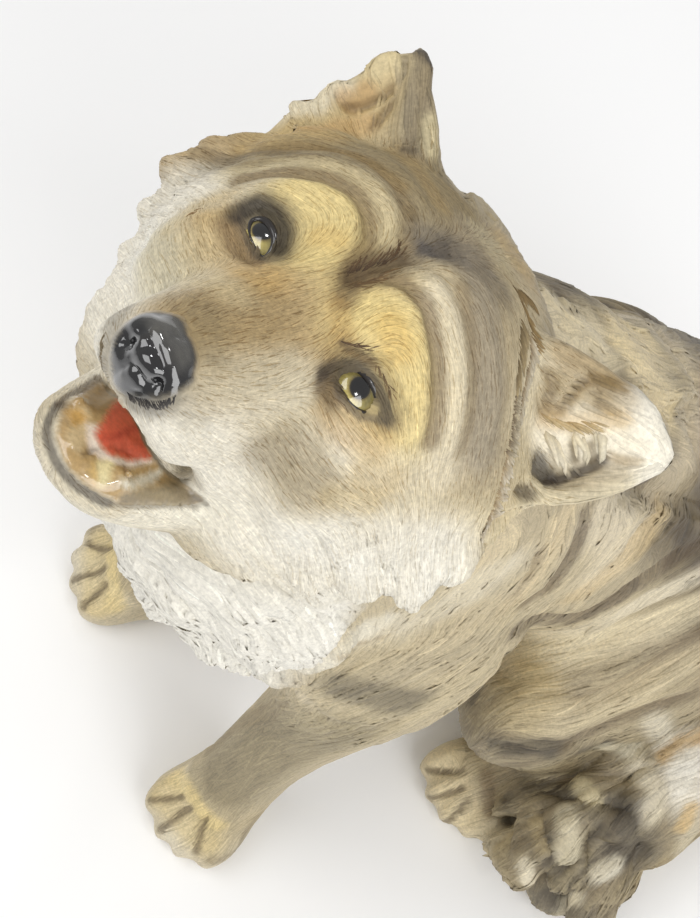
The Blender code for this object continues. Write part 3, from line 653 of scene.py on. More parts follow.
FACE_PAINT = [
    # cheeks, jaw line and muzzle
    (CREAM, 26, 0.9, [(260, 480), (330, 540), (420, 560)], True),
    (WHITE, 15, 0.95, [(170, 450), (205, 480), (250, 520), (310, 575), (400, 590)], True),
    (WHITE, 12, 0.8, [(330, 535), (380, 550), (430, 560)], True),
    (shade(206, 194, 166), 12, 0.7, [(230, 425), (300, 450), (350, 455), (400, 465)], True),
    (shade(182, 160, 116), 7, 0.6, [(270, 320), (320, 322)], False),
    (shade(214, 204, 180), 8, 0.85, [(220, 374), (255, 386), (292, 376)], True),
    (shade(230, 224, 208), 8, 0.85, [(165, 432), (195, 445), (220, 470)], True),
    (shade(218, 208, 184), 7, 0.8, [(320, 446), (350, 454), (392, 466)], False),
    (TAN, 11, 0.95, [(205, 330), (240, 318), (300, 305), (335, 300)], True),
    (shade(160, 136, 94), 8, 0.7, [(200, 318), (230, 312), (262, 306)], False),
    (shade(206, 196, 170), 5, 0.7, [(216, 374), (240, 378), (290, 372)], False),
    (shade(146, 128, 92), 5, 0.7, [(202, 312), (208, 345)], False),
    (shade(142, 126, 96), 7, 0.75, [(274, 446), (294, 460), (312, 484)], True),
    (shade(236, 228, 208), 4.2, 0.85, [(346, 446), (362, 452), (382, 462)], False),
    (shade(214, 206, 178), 9, 0.75, [(158, 238), (158, 262), (166, 290)], False),
    # forehead
    (shade(128, 110, 72), 16, 0.9, [(450, 210), (420, 175), (340, 150), (270, 145), (200, 155)], False),
    (shade(164, 148, 118), 10, 0.8, [(470, 258), (490, 300), (494, 360), (490, 420), (480, 465)], False),
    (shade(148, 138, 122), 6, 0.65, [(476, 270), (486, 320), (490, 380), (484, 450)], False),
    (shade(196, 164, 106), 5, 0.6, [(180, 160), (215, 146), (262, 138), (330, 136)], False),
    (shade(178, 150, 96), 2.2, 0.6, [(240, 152), (300, 148), (350, 156), (400, 186)], False),
    (shade(104, 86, 54), 2.0, 0.6, [(200, 158), (260, 152), (320, 158), (380, 186), (410, 215)], False),
    (shade(168, 142, 92), 3.0, 0.6, [(395, 150), (420, 175), (440, 205)], False),
    # brows with their rings
    (YELLOW, 10.5, 1.0, [(372, 322), (396, 330), (406, 370), (408, 412)], False),
    (YELLOW, 10.0, 1.0, [(300, 205), (328, 212), (340, 236), (312, 240)], False),
    (shade(216, 178, 92), 4, 0.6, [(392, 328), (398, 348)], False),
    (shade(204, 168, 92), 3, 0.5, [(320, 236), (336, 240)], False),
    (shade(224, 212, 184), 4.8, 0.9, [(440, 300), (452, 340), (456, 385), (450, 430), (441, 475)], False),
    (shade(204, 188, 148), 4.0, 0.85, [(390, 236), (388, 212), (368, 186), (332, 171), (280, 168),
                                       (222, 178)], False),
    # the next four rows: painted shade in the brow furrows
    (shade(112, 90, 58), 2.6, 0.85, [(345, 300), (352, 286), (375, 279), (402, 284), (424, 306), (433, 345),
                                     (436, 395), (430, 440)], False),
    (shade(112, 90, 58), 2.6, 0.85, [(352, 264), (366, 246), (368, 220), (356, 196), (330, 181), (295, 175),
                                     (240, 180)], False),
    (shade(124, 104, 70), 2.2, 0.6, [(462, 290), (470, 350), (470, 400), (460, 450)], False),
    (shade(118, 98, 62), 2.4, 0.7, [(404, 240), (408, 212), (396, 188), (370, 164), (330, 152),
                                    (280, 150)], False),
    (shade(160, 124, 66), 2.6, 0.6, [(338, 306), (341, 332)], False),
    # between the brows and behind
    # the next five rows: painted shade in the furrow between the brows and in the dent behind it
    (shade(70, 50, 30), 2.6, 0.9, [(348, 277), (365, 270), (388, 262), (400, 260)], False),
    (shade(92, 72, 44), 4.0, 0.6, [(344, 282), (370, 268), (410, 258)], False),
    (shade(58, 54, 56), 2.2, 0.95, [(424, 249), (434, 254), (444, 250)], False),
    (shade(88, 82, 80), 4.4, 0.7, [(426, 240), (436, 248), (448, 252)], False),
    (shade(104, 94, 78), 5.0, 0.65, [(448, 252), (480, 266), (500, 290)], False),
    (shade(186, 158, 106), 5.0, 0.7, [(505, 246), (524, 272)], False),
    (shade(190, 176, 140), 4.0, 0.6, [(478, 232), (500, 256)], False),
    # round the eyes
    (shade(192, 158, 96), 6.0, 0.8, [(214, 222), (222, 246), (240, 266), (262, 274)], False),
    (shade(210, 192, 150), 5.0, 0.6, [(196, 240), (200, 280), (230, 292)], False),
    (shade(236, 230, 214), 6.0, 0.8, [(150, 196), (176, 190), (200, 190)], False),
    (shade(184, 150, 92), 4.5, 0.65, [(326, 402), (345, 428), (376, 440)], False),
    (shade(176, 146, 92), 3.0, 0.6, [(332, 350), (345, 342)], False),
    (shade(86, 66, 40), 3.0, 0.85, [(322, 384), (332, 396)], False),
    (shade(104, 78, 46), 3.0, 0.8, [(228, 222), (238, 248), (252, 264)], False),
    (shade(84, 66, 48), 3.4, 0.6, [(326, 372), (350, 360), (374, 372), (386, 398), (392, 418)], False),
    (shade(58, 46, 38), 4.0, 0.85, [(240, 212), (262, 206), (280, 220), (284, 240), (276, 256)], False),
    (DARK, 1.5, 0.95, [(320, 374), (338, 365), (358, 365), (374, 380), (384, 400), (388, 420)], False),
    (DARK, 1.0, 0.8, [(334, 378), (344, 400), (360, 416), (380, 420)], False),
    (shade(34, 28, 24), 2.6, 0.95, [(238, 214), (258, 207), (272, 214), (281, 232), (277, 250)], False),
    (DARK, 1.0, 0.8, [(243, 224), (250, 246), (262, 260)], False),
    (shade(70, 48, 26), 0.7, 0.85, [(340, 342), (352, 348), (364, 352), (374, 360)], False),
    (shade(92, 66, 38), 0.6, 0.7, [(344, 350), (358, 356), (376, 366)], False),
    # cheek patches, chin stubble and the muzzle's tip
    (shade(196, 172, 122), 5.0, 0.65, [(366, 474), (386, 480)], True),
    (shade(200, 178, 128), 3.0, 0.5, [(330, 496), (368, 504)], True),
    (shade(92, 87, 80), 3.2, 0.8, [(134, 402), (152, 408), (170, 402)], False),
    (shade(104, 92, 70), 3.4, 0.65, [(120, 312), (112, 335), (104, 365)], False),
    (shade(170, 160, 136), 4.0, 0.5, [(184, 400), (196, 416)], False),
    # left ear
    (shade(226, 214, 184), 12.0, 0.9, [(540, 400), (580, 420), (620, 430), (640, 450)], False),
    (WHITE, 5.0, 0.9, [(640, 402), (660, 425), (670, 455), (650, 474)], False),
    (shade(246, 238, 218), 7.0, 0.95, [(560, 434), (600, 440), (640, 450)], False),
    (shade(164, 144, 108), 5.0, 0.75, [(550, 395), (570, 380), (600, 392), (620, 398)], False),
    (shade(176, 152, 112), 3.0, 0.7, [(560, 352), (590, 362), (620, 380)], False),
    # the next five rows: painted shade along the folds of the ear's back
    (shade(128, 104, 60), 1.8, 0.8, [(542, 408), (556, 412), (568, 402), (576, 386), (592, 379),
                                     (610, 383)], False),
    (shade(120, 98, 58), 1.4, 0.8, [(590, 378), (606, 382), (624, 388)], False),
    (shade(124, 102, 62), 1.2, 0.7, [(596, 394), (612, 400)], False),
    (shade(124, 102, 62), 1.2, 0.7, [(596, 404), (612, 412)], False),
    (shade(118, 96, 56), 1.5, 0.7, [(545, 370), (552, 385), (548, 400)], False),
    (shade(196, 164, 108), 2.4, 0.6, [(545, 420), (580, 424), (620, 420)], False),
    (shade(214, 202, 170), 5.0, 0.8, [(535, 498), (580, 492), (620, 486)], False),
    (shade(150, 134, 108), 3.0, 0.6, [(560, 484), (590, 478), (620, 470)], False),
    # the next six rows: painted shade in the ear's hollow, along its lower rim and in its folds
    (shade(44, 40, 40), 2.6, 0.95, [(536, 462), (542, 474), (548, 480)], False),
    (shade(64, 54, 46), 1.7, 0.95, [(548, 482), (568, 479), (586, 470), (602, 460)], False),
    (shade(150, 128, 90), 1.2, 0.7, [(608, 454), (620, 460), (640, 462)], False),
    (shade(92, 74, 44), 1.2, 0.85, [(573, 446), (575, 460)], False),
    (shade(122, 104, 70), 1.2, 0.7, [(590, 446), (592, 460)], False),
    (shade(80, 68, 50), 2.0, 0.9, [(518, 488), (528, 494)], False),
    # right ear
    (shade(200, 176, 124), 12.0, 0.9, [(310, 118), (350, 100), (385, 80)], False),
    (shade(222, 214, 190), 3.4, 0.85, [(294, 106), (316, 104), (326, 90), (342, 84)], False),
    (shade(214, 200, 158), 4.0, 0.7, [(372, 66), (386, 58), (398, 60)], False),
    (shade(180, 140, 84), 2.8, 0.65, [(346, 98), (350, 106), (366, 92)], False),
    (shade(196, 156, 98), 3.0, 0.6, [(310, 128), (340, 128), (366, 124)], False),
    # the next three rows: painted shade in the folds between the lobes and in the groove beside the tip
    (shade(122, 98, 62), 1.3, 0.8, [(346, 108), (366, 106), (382, 98), (396, 86)], False),
    (shade(112, 90, 58), 1.3, 0.8, [(374, 128), (384, 114), (396, 100)], False),
    (shade(88, 74, 58), 1.2, 0.9, [(402, 78), (407, 66), (405, 58)], False),
    (shade(200, 184, 146), 3.0, 0.75, [(402, 130), (404, 100), (412, 66)], False),
    # painted shade in the groove beside the tip
    (shade(118, 106, 86), 4.2, 0.85, [(416, 148), (416, 110), (424, 76), (430, 56)], False),
    (shade(204, 190, 150), 2.6, 0.9, [(432, 150), (432, 122)], False),
    (shade(58, 54, 52), 2.0, 0.95, [(422, 46), (430, 45), (434, 56)], False),
    (shade(82, 70, 52), 1.0, 0.7, [(404, 150), (414, 152)], False),
]

# Colours of the body, painted the same way; the far side has them too

BODY_PAINT = [
    (shade(84, 70, 44), 14, 0.95, [(556, 292), (600, 302), (650, 324), (700, 352)]),
    (shade(70, 56, 38), 4, 0.8, [(556, 294), (600, 306), (640, 322)]),
    (shade(226, 211, 176), 8, 0.8, [(548, 300), (560, 330), (600, 352)]),
    (shade(232, 212, 166), 9, 0.85, [(620, 342), (640, 372), (660, 410)]),
    (shade(120, 103, 85), 6, 0.7, [(655, 335), (690, 370), (700, 400)]),
    (shade(206, 190, 158), 12, 0.8, [(690, 420), (670, 480), (640, 520)]),
    (shade(226, 213, 185), 9, 0.75, [(600, 510), (620, 540), (600, 570)]),
    (shade(209, 182, 131), 7, 0.6, [(650, 520), (620, 560), (580, 590)]),
    # painted shade in the neck fold's groove
    (shade(100, 82, 57), 2.6, 0.9, [(584, 504), (581, 525), (568, 555), (548, 585), (520, 602)]),
    (shade(215, 195, 155), 5, 0.8, [(560, 512), (548, 545), (530, 575), (510, 600)]),
    # painted shade in a shoulder fold's groove
    (shade(112, 92, 64), 1.8, 0.8, [(538, 545), (530, 570), (512, 590)]),
    (shade(220, 202, 164), 7, 0.7, [(520, 510), (500, 545), (470, 580)]),
    (shade(165, 142, 101), 7, 0.6, [(490, 600), (460, 625), (430, 640)]),
    # the flank folds: the dark rows are painted shade in their grooves, the pale rows along their ridges
    # painted highlights
    (shade(96, 80, 59), 4.6, 0.95, [(700, 540), (665, 560), (630, 585), (600, 605), (570, 617), (540, 616),
                                    (512, 626)]),
    (shade(232, 220, 192), 8, 0.9, [(700, 575), (660, 592), (620, 610), (590, 626), (555, 640)]),
    (shade(230, 216, 182), 7, 0.85, [(520, 650), (560, 645), (640, 625), (700, 600)]),
    (shade(112, 94, 70), 4.0, 0.85, [(700, 636), (670, 652), (640, 672), (610, 690), (580, 700)]),
    (shade(220, 204, 167), 6, 0.75, [(700, 655), (670, 672), (640, 690), (600, 706), (560, 722)]),
    (shade(211, 191, 145), 8, 0.7, [(520, 670), (540, 695), (520, 715)]),
    (shade(96, 78, 55), 3.4, 0.85, [(692, 692), (660, 702), (630, 714), (600, 727), (570, 738), (500, 735)]),
    # painted shade in a crevice
    (shade(40, 34, 29), 3.4, 0.9, [(480, 692), (475, 702)]),
    (shade(165, 153, 129), 7, 0.6, [(480, 640), (440, 655), (390, 670)]),
    (shade(60, 54, 44), 8, 0.9, [(345, 684), (375, 692), (405, 700)]),
    (shade(215, 202, 176), 2.6, 0.8, [(303, 690), (318, 706), (345, 720), (372, 724)]),
    (shade(122, 110, 80), 14, 0.9, [(340, 728), (270, 750), (220, 785)]),
    (shade(128, 110, 74), 3.6, 0.6, [(290, 700), (240, 722), (205, 745)]),
    (shade(216, 206, 182), 7, 0.9, [(78, 560), (98, 580), (118, 600)]),
    (shade(235, 211, 143), 4.5, 0.75, [(176, 776), (196, 800), (214, 824)]),
    (shade(215, 193, 136), 6.5, 0.7, [(160, 790), (185, 820), (205, 840)]),
    # the next three rows: painted shade in the grooves between the front toes
    (shade(92, 76, 51), 1.6, 0.85, [(150, 800), (166, 799), (182, 797)]),
    (shade(92, 76, 51), 1.6, 0.85, [(160, 830), (176, 818), (190, 808)]),
    (shade(92, 76, 51), 1.6, 0.85, [(196, 852), (201, 832), (206, 818)]),
    (shade(112, 94, 64), 2.6, 0.6, [(212, 862), (240, 845), (262, 815)]),
    (shade(226, 208, 166), 9, 0.9, [(440, 760), (450, 790), (462, 815)]),
    (shade(120, 98, 66), 3.0, 0.8, [(480, 750), (488, 780), (490, 810)]),
    # the next three rows: painted shade in the grooves between the hind toes
    (shade(86, 70, 47), 1.6, 0.85, [(428, 770), (445, 772), (462, 772)]),
    (shade(86, 70, 47), 1.6, 0.85, [(430, 798), (446, 794), (462, 788)]),
    (shade(86, 70, 47), 1.6, 0.85, [(446, 822), (456, 812), (468, 802)]),
]


BIB_PAINT = [
    (shade(222, 212, 188), 11, 0.9, [(360, 635), (400, 622), (450, 600), (490, 570)]),
    (shade(232, 226, 208), 8, 0.85, [(330, 660), (352, 640), (372, 622)]),
    (shade(206, 192, 160), 7, 0.7, [(430, 640), (470, 620), (500, 592)]),
    (shade(150, 128, 90), 2.0, 0.7, [(340, 652), (360, 640), (385, 632)]),
]
TAIL_PAINT = [
    (shade(100, 87, 66), 26, 0.9, [(500, 760), (560, 770), (620, 790), (560, 840), (600, 880)]),
    (shade(150, 136, 108), 14, 0.7, [(640, 730), (670, 770), (690, 830)]),
    # the next four rows: painted shade in the grooves between the tail's clumps and where it meets the body
    (shade(46, 40, 34), 5, 0.9, [(500, 744), (540, 743), (590, 745), (600, 742)]),
    (shade(46, 40, 34), 4.5, 0.9, [(530, 786), (560, 796), (600, 803), (640, 808)]),
    (shade(46, 42, 42), 8, 0.85, [(630, 826), (640, 850), (600, 834)]),
    (shade(44, 40, 38), 6, 0.85, [(546, 846), (566, 876), (586, 866)]),
    (shade(50, 50, 54), 9, 0.8, [(545, 900), (570, 920)]),
    # painted shade in a groove of the tail
    (shade(38, 32, 28), 3.5, 0.9, [(508, 800), (510, 824)]),
    (shade(120, 102, 70), 4, 0.7, [(566, 748), (568, 774)]),
    (shade(214, 204, 176), 4.2, 1.0, [(566, 815), (568, 835), (567, 856)]),
    (shade(228, 220, 198), 3.4, 0.95, [(598, 874), (614, 865)]),
    (shade(232, 222, 196), 2.6, 0.95, [(525, 864), (527, 878)]),
    (shade(206, 196, 170), 2.6, 0.9, [(578, 896), (562, 907)]),
    (shade(196, 188, 164), 4.4, 0.9, [(606, 744), (632, 749)]),
    (shade(214, 206, 186), 5, 0.9, [(654, 718), (664, 742)]),
    (shade(244, 239, 226), 11, 1.0, [(692, 758), (684, 784)]),
    (shade(214, 200, 160), 3.2, 0.9, [(580, 786), (593, 800)]),
    (shade(218, 208, 184), 4.6, 1.0, [(638, 770), (658, 790), (650, 812)]),
    (shade(206, 164, 96), 2.8, 0.85, [(662, 758), (680, 743), (700, 738)]),
    (shade(216, 204, 176), 5.5, 0.85, [(694, 822), (682, 845)]),
    (shade(206, 170, 104), 2.6, 0.8, [(692, 806), (682, 826)]),
    (shade(158, 138, 98), 4, 0.8, [(640, 880), (660, 862)]),
    (shade(170, 152, 112), 2.4, 0.8, [(536, 824), (540, 848)]),
    (shade(170, 152, 112), 2.6, 0.8, [(514, 842), (500, 852)]),
]


def blend(colours, which, colour, amount):
    amount = np.clip(amount, 0.0, 1.0)[:, None]
    colours[which] = colours[which] * (1.0 - amount) + np.asarray(colour) * amount


def spread(d, reach):
    """1 at the middle of a patch, falling softly to 0 at 1.6 times its reach."""
    return np.clip(1.6 - d / reach, 0.0, 1.0) ** 1.5 * (1.0 / 1.6 ** 1.5) * 1.6


def brush(skin, colours, rows, both=False):
    """Lays rows of colour, reach in mm, strength and path on the skin, or on both sides."""
    for colour, reach, strength, pixels, *own in rows:
        for path in skin.sides(skin.line(pixels), own[0] if own else both):
            which, d, _ = near(skin.points, path, 1.6 * reach * MM)
            blend(colours, which, colour, strength * spread(d, reach * MM))


def ellipsoid(points, centre, radii):
    return np.linalg.norm((to_head(points) - np.array(centre) * 0.01) / (np.array(radii) * 0.01), axis=1)


def body_paint(skin):
    p, n = skin.points * 100.0, skin.normals
    colours = np.tile(shade(190, 175, 142), (len(p), 1))
    every = np.arange(len(p))
    back = np.clip((p[:, 1] + 10.0) / 8.0, 0.0, 1.0) * np.clip(n[:, 2] * 0.8 + 0.4, 0.0, 1.0)
    blend(colours, every, shade(112, 96, 70), back * 0.8)
    nape = np.clip((p[:, 2] - 24.0) / 8.0, 0, 1) * np.clip((p[:, 1] + 17.0) / 4, 0, 1)
    blend(colours, every, shade(128, 110, 78), nape * 0.7)
    low = np.clip((7.0 - p[:, 2]) / 4.0, 0, 1)
    blend(colours, every, shade(176, 160, 124), low * 0.6)
    toes = np.clip((2.6 - p[:, 2]) / 1.6, 0, 1) * (p[:, 1] < -9.0)
    blend(colours, every, shade(214, 202, 174), toes * 0.7)
    brush(skin, colours, BODY_PAINT, "body")
    brush(skin, colours, TAIL_PAINT)
    brush(skin, colours, BIB_PAINT, "body")
    bib = smoothstep(-p[:, 1], 19.0, 20.4) * smoothstep(p[:, 2], 15.0, 18.0)
    bib = bib * smoothstep(-p[:, 2], -31.0, -29.0)
    blend(colours, every, WHITE, bib * 0.97)
    return colours


NOSE = [(112, 352), (117, 336), (126, 324), (142, 316), (163, 314), (180, 321), (189, 342), (195, 362),
        (192, 382), (179, 391), (160, 399), (140, 399), (124, 392), (112, 378)]
NOSE_TOP = [(142, 318), (163, 316), (179, 323), (187, 345), (190, 362), (180, 376), (168, 352), (152, 334)]


def paint(skin):
    """The colour of each skin point, and its gloss: the nose has some."""
    colours = body_paint(skin)
    brush(skin, colours, FACE_PAINT)
    every = np.arange(len(colours))
    ball = ellipsoid(skin.points, (0.06, 5.1, -1.1), (1.0, 0.75, 0.78))
    facing = np.sum(skin.normals * unit(CAMERA - skin.points), axis=1) > 0.0
    seen = picture(skin.points)
    nose = np.where(facing & (ball < 1.7), within(seen, NOSE) * 1.0, np.clip((1.12 - ball) / 0.12, 0, 1))
    top = (nose > 0.5) & facing & within(seen, NOSE_TOP)
    nose = mean_over(skin, nose, 2)
    blend(colours, every, BLACK, nose)
    blend(colours, every, shade(84, 82, 77), mean_over(skin, top * 1.0, 4) * 0.85)
    return colours, nose


def mean_over(skin, values, rounds):
    count = np.maximum(np.bincount(skin.edges.ravel(), minlength=len(values)), 1)
    for _ in range(rounds):
        values = mean_of_neighbours(values[:, None], skin.edges, count)[:, 0]
    return values


# Material

def node(tree, kind, **values):
    n = tree.nodes.new(kind)
    for key, value in values.items():
        setattr(n, key, value)
    return n


MOTTLE_SCALE = 900.0
GRAIN = 0.05 * MM


def wear_group():
    """Painted colour with fine mottling, and the height of the cast's grain."""
    tree = bpy.data.node_groups.new("paint_wear", "ShaderNodeTree")
    face = tree.interface
    face.new_socket("Paint", in_out="INPUT", socket_type="NodeSocketColor")
    face.new_socket("Scale", in_out="INPUT", socket_type="NodeSocketFloat")
    face.new_socket("Colour", in_out="OUTPUT", socket_type="NodeSocketColor")
    face.new_socket("Grain", in_out="OUTPUT", socket_type="NodeSocketFloat")
    inside, outside = node(tree, "NodeGroupInput"), node(tree, "NodeGroupOutput")
    where = node(tree, "ShaderNodeTexCoord")
    mottle = node(tree, "ShaderNodeTexNoise")
    mottle.inputs["Detail"].default_value = 5.0
    mottle.inputs["Roughness"].default_value = 0.65
    tone = node(tree, "ShaderNodeMapRange")
    tone.inputs["From Min"].default_value = 0.3
    tone.inputs["From Max"].default_value = 0.7
    tone.inputs["To Min"].default_value = 0.80
    tone.inputs["To Max"].default_value = 1.14
    mixed = node(tree, "ShaderNodeVectorMath", operation="SCALE")
    link = tree.links.new
    link(where.outputs["Object"], mottle.inputs["Vector"])
    link(inside.outputs["Scale"], mottle.inputs["Scale"])
    link(mottle.outputs["Fac"], tone.inputs["Value"])
    link(inside.outputs["Paint"], mixed.inputs[0])
    link(tone.outputs["Result"], mixed.inputs["Scale"])
    link(mixed.outputs["Vector"], outside.inputs["Colour"])
    link(mottle.outputs["Fac"], outside.inputs["Grain"])
    return tree


def painted_material(name, wear, scale, grain, matte=0.55, glossy=0.12):
    material = bpy.data.materials.new(name)
    material.use_nodes = True
    tree = material.node_tree
    link = tree.links.new
    surface = tree.nodes["Principled BSDF"]
    colour = node(tree, "ShaderNodeAttribute", attribute_name="paint")
    shine = node(tree, "ShaderNodeAttribute", attribute_name="gloss")
    group = node(tree, "ShaderNodeGroup", node_tree=wear)
    group.inputs["Scale"].default_value = scale
    rough = node(tree, "ShaderNodeMapRange")
    rough.inputs["To Min"].default_value = matte
    rough.inputs["To Max"].default_value = glossy
    bump = node(tree, "ShaderNodeBump")
    bump.inputs["Distance"].default_value = grain
    bump.inputs["Strength"].default_value = 0.6
    link(colour.outputs["Color"], group.inputs["Paint"])
    link(group.outputs["Colour"], surface.inputs["Base Color"])
    link(shine.outputs["Fac"], rough.inputs["Value"])
    link(rough.outputs["Result"], surface.inputs["Roughness"])
    link(shine.outputs["Fac"], surface.inputs["Coat Weight"])
    link(group.outputs["Grain"], bump.inputs["Height"])
    link(bump.outputs["Normal"], surface.inputs["Normal"])
    surface.inputs["Coat Roughness"].default_value = 0.05
    surface.inputs["Coat IOR"].default_value = 1.9
    return material


def finish_piece(o, material):
    o.data.materials.clear()
    o.data.materials.append(material)
    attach(o, "root")
    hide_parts("wolf_figurine")


def set_paint(mesh, colours, gloss):
    paint = mesh.color_attributes.new("paint", "FLOAT_COLOR", "POINT")
    flat = np.ones((len(colours), 4), dtype=np.float32)
    flat[:, :3] = colours
    paint.data.foreach_set("color", flat.ravel())
    shine = mesh.attributes.new("gloss", "FLOAT", "POINT")
    shine.data.foreach_set("value", np.asarray(gloss, dtype=np.float32))


def mesh_from(name, points, corners, sizes):
    """A mesh from its points, the corners of all its faces in a row, and how many each face has."""
    mesh = bpy.data.meshes.new(name)
    mesh.vertices.add(len(points))
    mesh.loops.add(len(corners))
    mesh.polygons.add(len(sizes))
    mesh.vertices.foreach_set("co", np.ascontiguousarray(points, dtype=np.float32).ravel())
    mesh.loops.foreach_set("vertex_index", np.asarray(corners, dtype=np.int32))
    starts = np.concatenate(((0,), np.cumsum(sizes)[:-1]))
    mesh.polygons.foreach_set("loop_start", starts.astype(np.int32))
    mesh.update(calc_edges=True)
    mesh.validate()
    mesh.shade_smooth()
    return mesh


def faces_of(mesh):
    corners = np.empty(len(mesh.loops), dtype=np.int32)
    mesh.loops.foreach_get("vertex_index", corners)
    sizes = np.empty(len(mesh.polygons), dtype=np.int32)
    mesh.polygons.foreach_get("loop_total", sizes)
    return corners, sizes


# Where the body is divided, and how far ahead of the eyes the face begins
WAIST = -0.0865
FACE_START = -0.015


def divided(skin, colours, gloss, material):
    """The skin in pieces small enough to handle, each with the normals of the whole."""
    corners, sizes = faces_of(skin.mesh)
    starts = np.concatenate(((0,), np.cumsum(sizes)[:-1]))
    middle = skin.points[corners[starts]]
    head = head_zone(middle)
    front = to_head(middle)[:, 1] > FACE_START
    names = ("wolf_hindquarters", "wolf_forequarters", "wolf_head_back", "wolf_face")
    part = np.where(head, np.where(front, 3, 2), (middle[:, 1] < WAIST) * 1)
    face_of_corner = np.repeat(np.arange(len(sizes)), sizes)
    for k, name in enumerate(names):
        chosen = part == k
        own = corners[chosen[face_of_corner]]
        used, renumbered = np.unique(own, return_inverse=True)
        mesh = mesh_from(name, skin.points[used], renumbered, sizes[chosen])
        set_paint(mesh, colours[used], gloss[used])
        mesh.normals_split_custom_set_from_vertices(skin.normals[used].tolist())
        o = new_object(name, mesh)
        finish_piece(o, material)
    bpy.data.objects.remove(skin.object)


# Stage

def place_camera():
    data = bpy.data.cameras.new("camera")
    data.sensor_width = 36.0
    data.sensor_fit = "AUTO"
    data.lens = FOCAL * 36.0 / HEIGHT
    data.clip_start = 0.01
    o = bpy.data.objects.new("camera", data)
    bpy.context.scene.collection.objects.link(o)
    turn = Matrix(np.array((RIGHT, UP, BACK)).T.tolist()).to_4x4()
    o.matrix_world = Matrix.Translation(Vector(CAMERA)) @ turn
    bpy.context.scene.camera = o


def lamp(name, place, target, size, power):
    data = bpy.data.lights.new(name, "AREA")
    data.size = size
    data.energy = power
    o = bpy.data.objects.new(name, data)
    bpy.context.scene.collection.objects.link(o)
    o.location = place
    o.rotation_euler = (Vector(target) - Vector(place)).to_track_quat("-Z", "Y").to_euler()


def floor_material():
    material = bpy.data.materials.new("pale_floor")
    material.use_nodes = True
    surface = material.node_tree.nodes["Principled BSDF"]
    surface.inputs["Base Color"].default_value = (0.95, 0.95, 0.95, 1.0)
    surface.inputs["Roughness"].default_value = 0.9
    surface.inputs["Specular IOR Level"].default_value = 0.1
    return material


def surroundings(level):
    world = bpy.data.worlds.new("studio")
    bpy.context.scene.world = world
    world.use_nodes = True
    tree = world.node_tree
    link = tree.links.new
    background = tree.nodes["Background"]
    path = node(tree, "ShaderNodeLightPath")
    strength = node(tree, "ShaderNodeMapRange")
    strength.inputs["To Min"].default_value = level
    strength.inputs["To Max"].default_value = 1.0
    mirrored_room = node(tree, "ShaderNodeMapRange")
    mirrored_room.inputs["To Min"].default_value = 1.0
    mirrored_room.inputs["To Max"].default_value = 0.5
    both = node(tree, "ShaderNodeMath", operation="MULTIPLY")
    background.inputs["Color"].default_value = (1.0, 1.0, 1.0, 1.0)
    link(path.outputs["Is Camera Ray"], strength.inputs["Value"])
    link(path.outputs["Is Glossy Ray"], mirrored_room.inputs["Value"])
    link(strength.outputs["Result"], both.inputs[0])
    link(mirrored_room.outputs["Result"], both.inputs[1])
    link(both.outputs["Value"], background.inputs["Strength"])


def set_stage():
    bpy.ops.mesh.primitive_plane_add(size=6.0, location=(0.0, 0.0, 0.0))
    floor = bpy.context.object
    floor.name = "floor"
    floor.data.materials.append(floor_material())
    surroundings(0.60)
    lamp("key", (-0.38, -0.9, 1.5), (0.0, -0.15, 0.2), 1.2, 10.5)
    lamp("side", (1.3, -0.1, 0.9), (0.0, -0.1, 0.15), 1.0, 8.5)
    lamp("left_glint", (0.62, -0.04, 1.13), (0.018, -0.204, 0.351), 0.12, 0.7)
    lamp("right_glint", (-0.46, 0.11, 1.18), (-0.02, -0.212, 0.353), 0.12, 0.7)
    bpy.context.scene.view_settings.view_transform = "Standard"


# Shaping against the picture: the tail's middle line, outlines to keep inside, and nudges

TAIL_PATH = np.array([(2.6, 3.2, 3.2), (4.4, 3.4, 2.9), (7.6, 1.7, 2.5), (8.8, -1.4, 2.5), (9.2, -4.5, 2.2),
                      (10.4, -6.6, 1.6), (12.3, -7.5, 0.9)]) * 0.01


def regions(skin):
    """How much each skin point belongs to the parts of the body, from 0 to 1."""
    p = skin.points * 100.0
    h = to_head(skin.points) * 100.0
    r = {}
    front = smoothstep(h[:, 1], -5.4, -4.4) * smoothstep(h[:, 2], -6.2, -4.6) * (h[:, 1] < 6.5)
    near_head = np.linalg.norm(h - (0.0, -0.5, -0.5), axis=1) < 7.6
    r["face"] = front * near_head
    aside = np.abs(h[:, 0])
    ear = (aside > 2.2) & (h[:, 1] < -3.6) & (h[:, 2] > -1.2) & (aside + 0.8 * h[:, 2] > 4.8)
    r["ear"] = ear * 1.0
    which, d, _ = near(skin.points, TAIL_PATH, 36.0 * MM)
    r["tail"] = np.zeros(len(p))
    r["tail"][which] = smoothstep(-d, -34.0 * MM, -28.0 * MM) * smoothstep(-p[which, 2], -6.4, -5.2)
    r["tail"] *= (p[:, 0] > 2.0) & ((p[:, 0] > 8.6) | (p[:, 1] > -4.0))
    r["paw"] = smoothstep(-p[:, 2], -3.4, -2.2) * (p[:, 1] < -7.4) * (1.0 - r["tail"])
    r["leg"] = smoothstep(-p[:, 2], -14.0, -10.0) * (p[:, 1] < -11.0) * (np.abs(p[:, 0]) > 1.5)
    r["bib"] = smoothstep(-p[:, 1], 18.0, 20.5) * smoothstep(p[:, 2], 14.0, 17.0) * (1.0 - r["face"])
    r["bottom"] = (p[:, 2] < 0.25) * 1.0
    return r


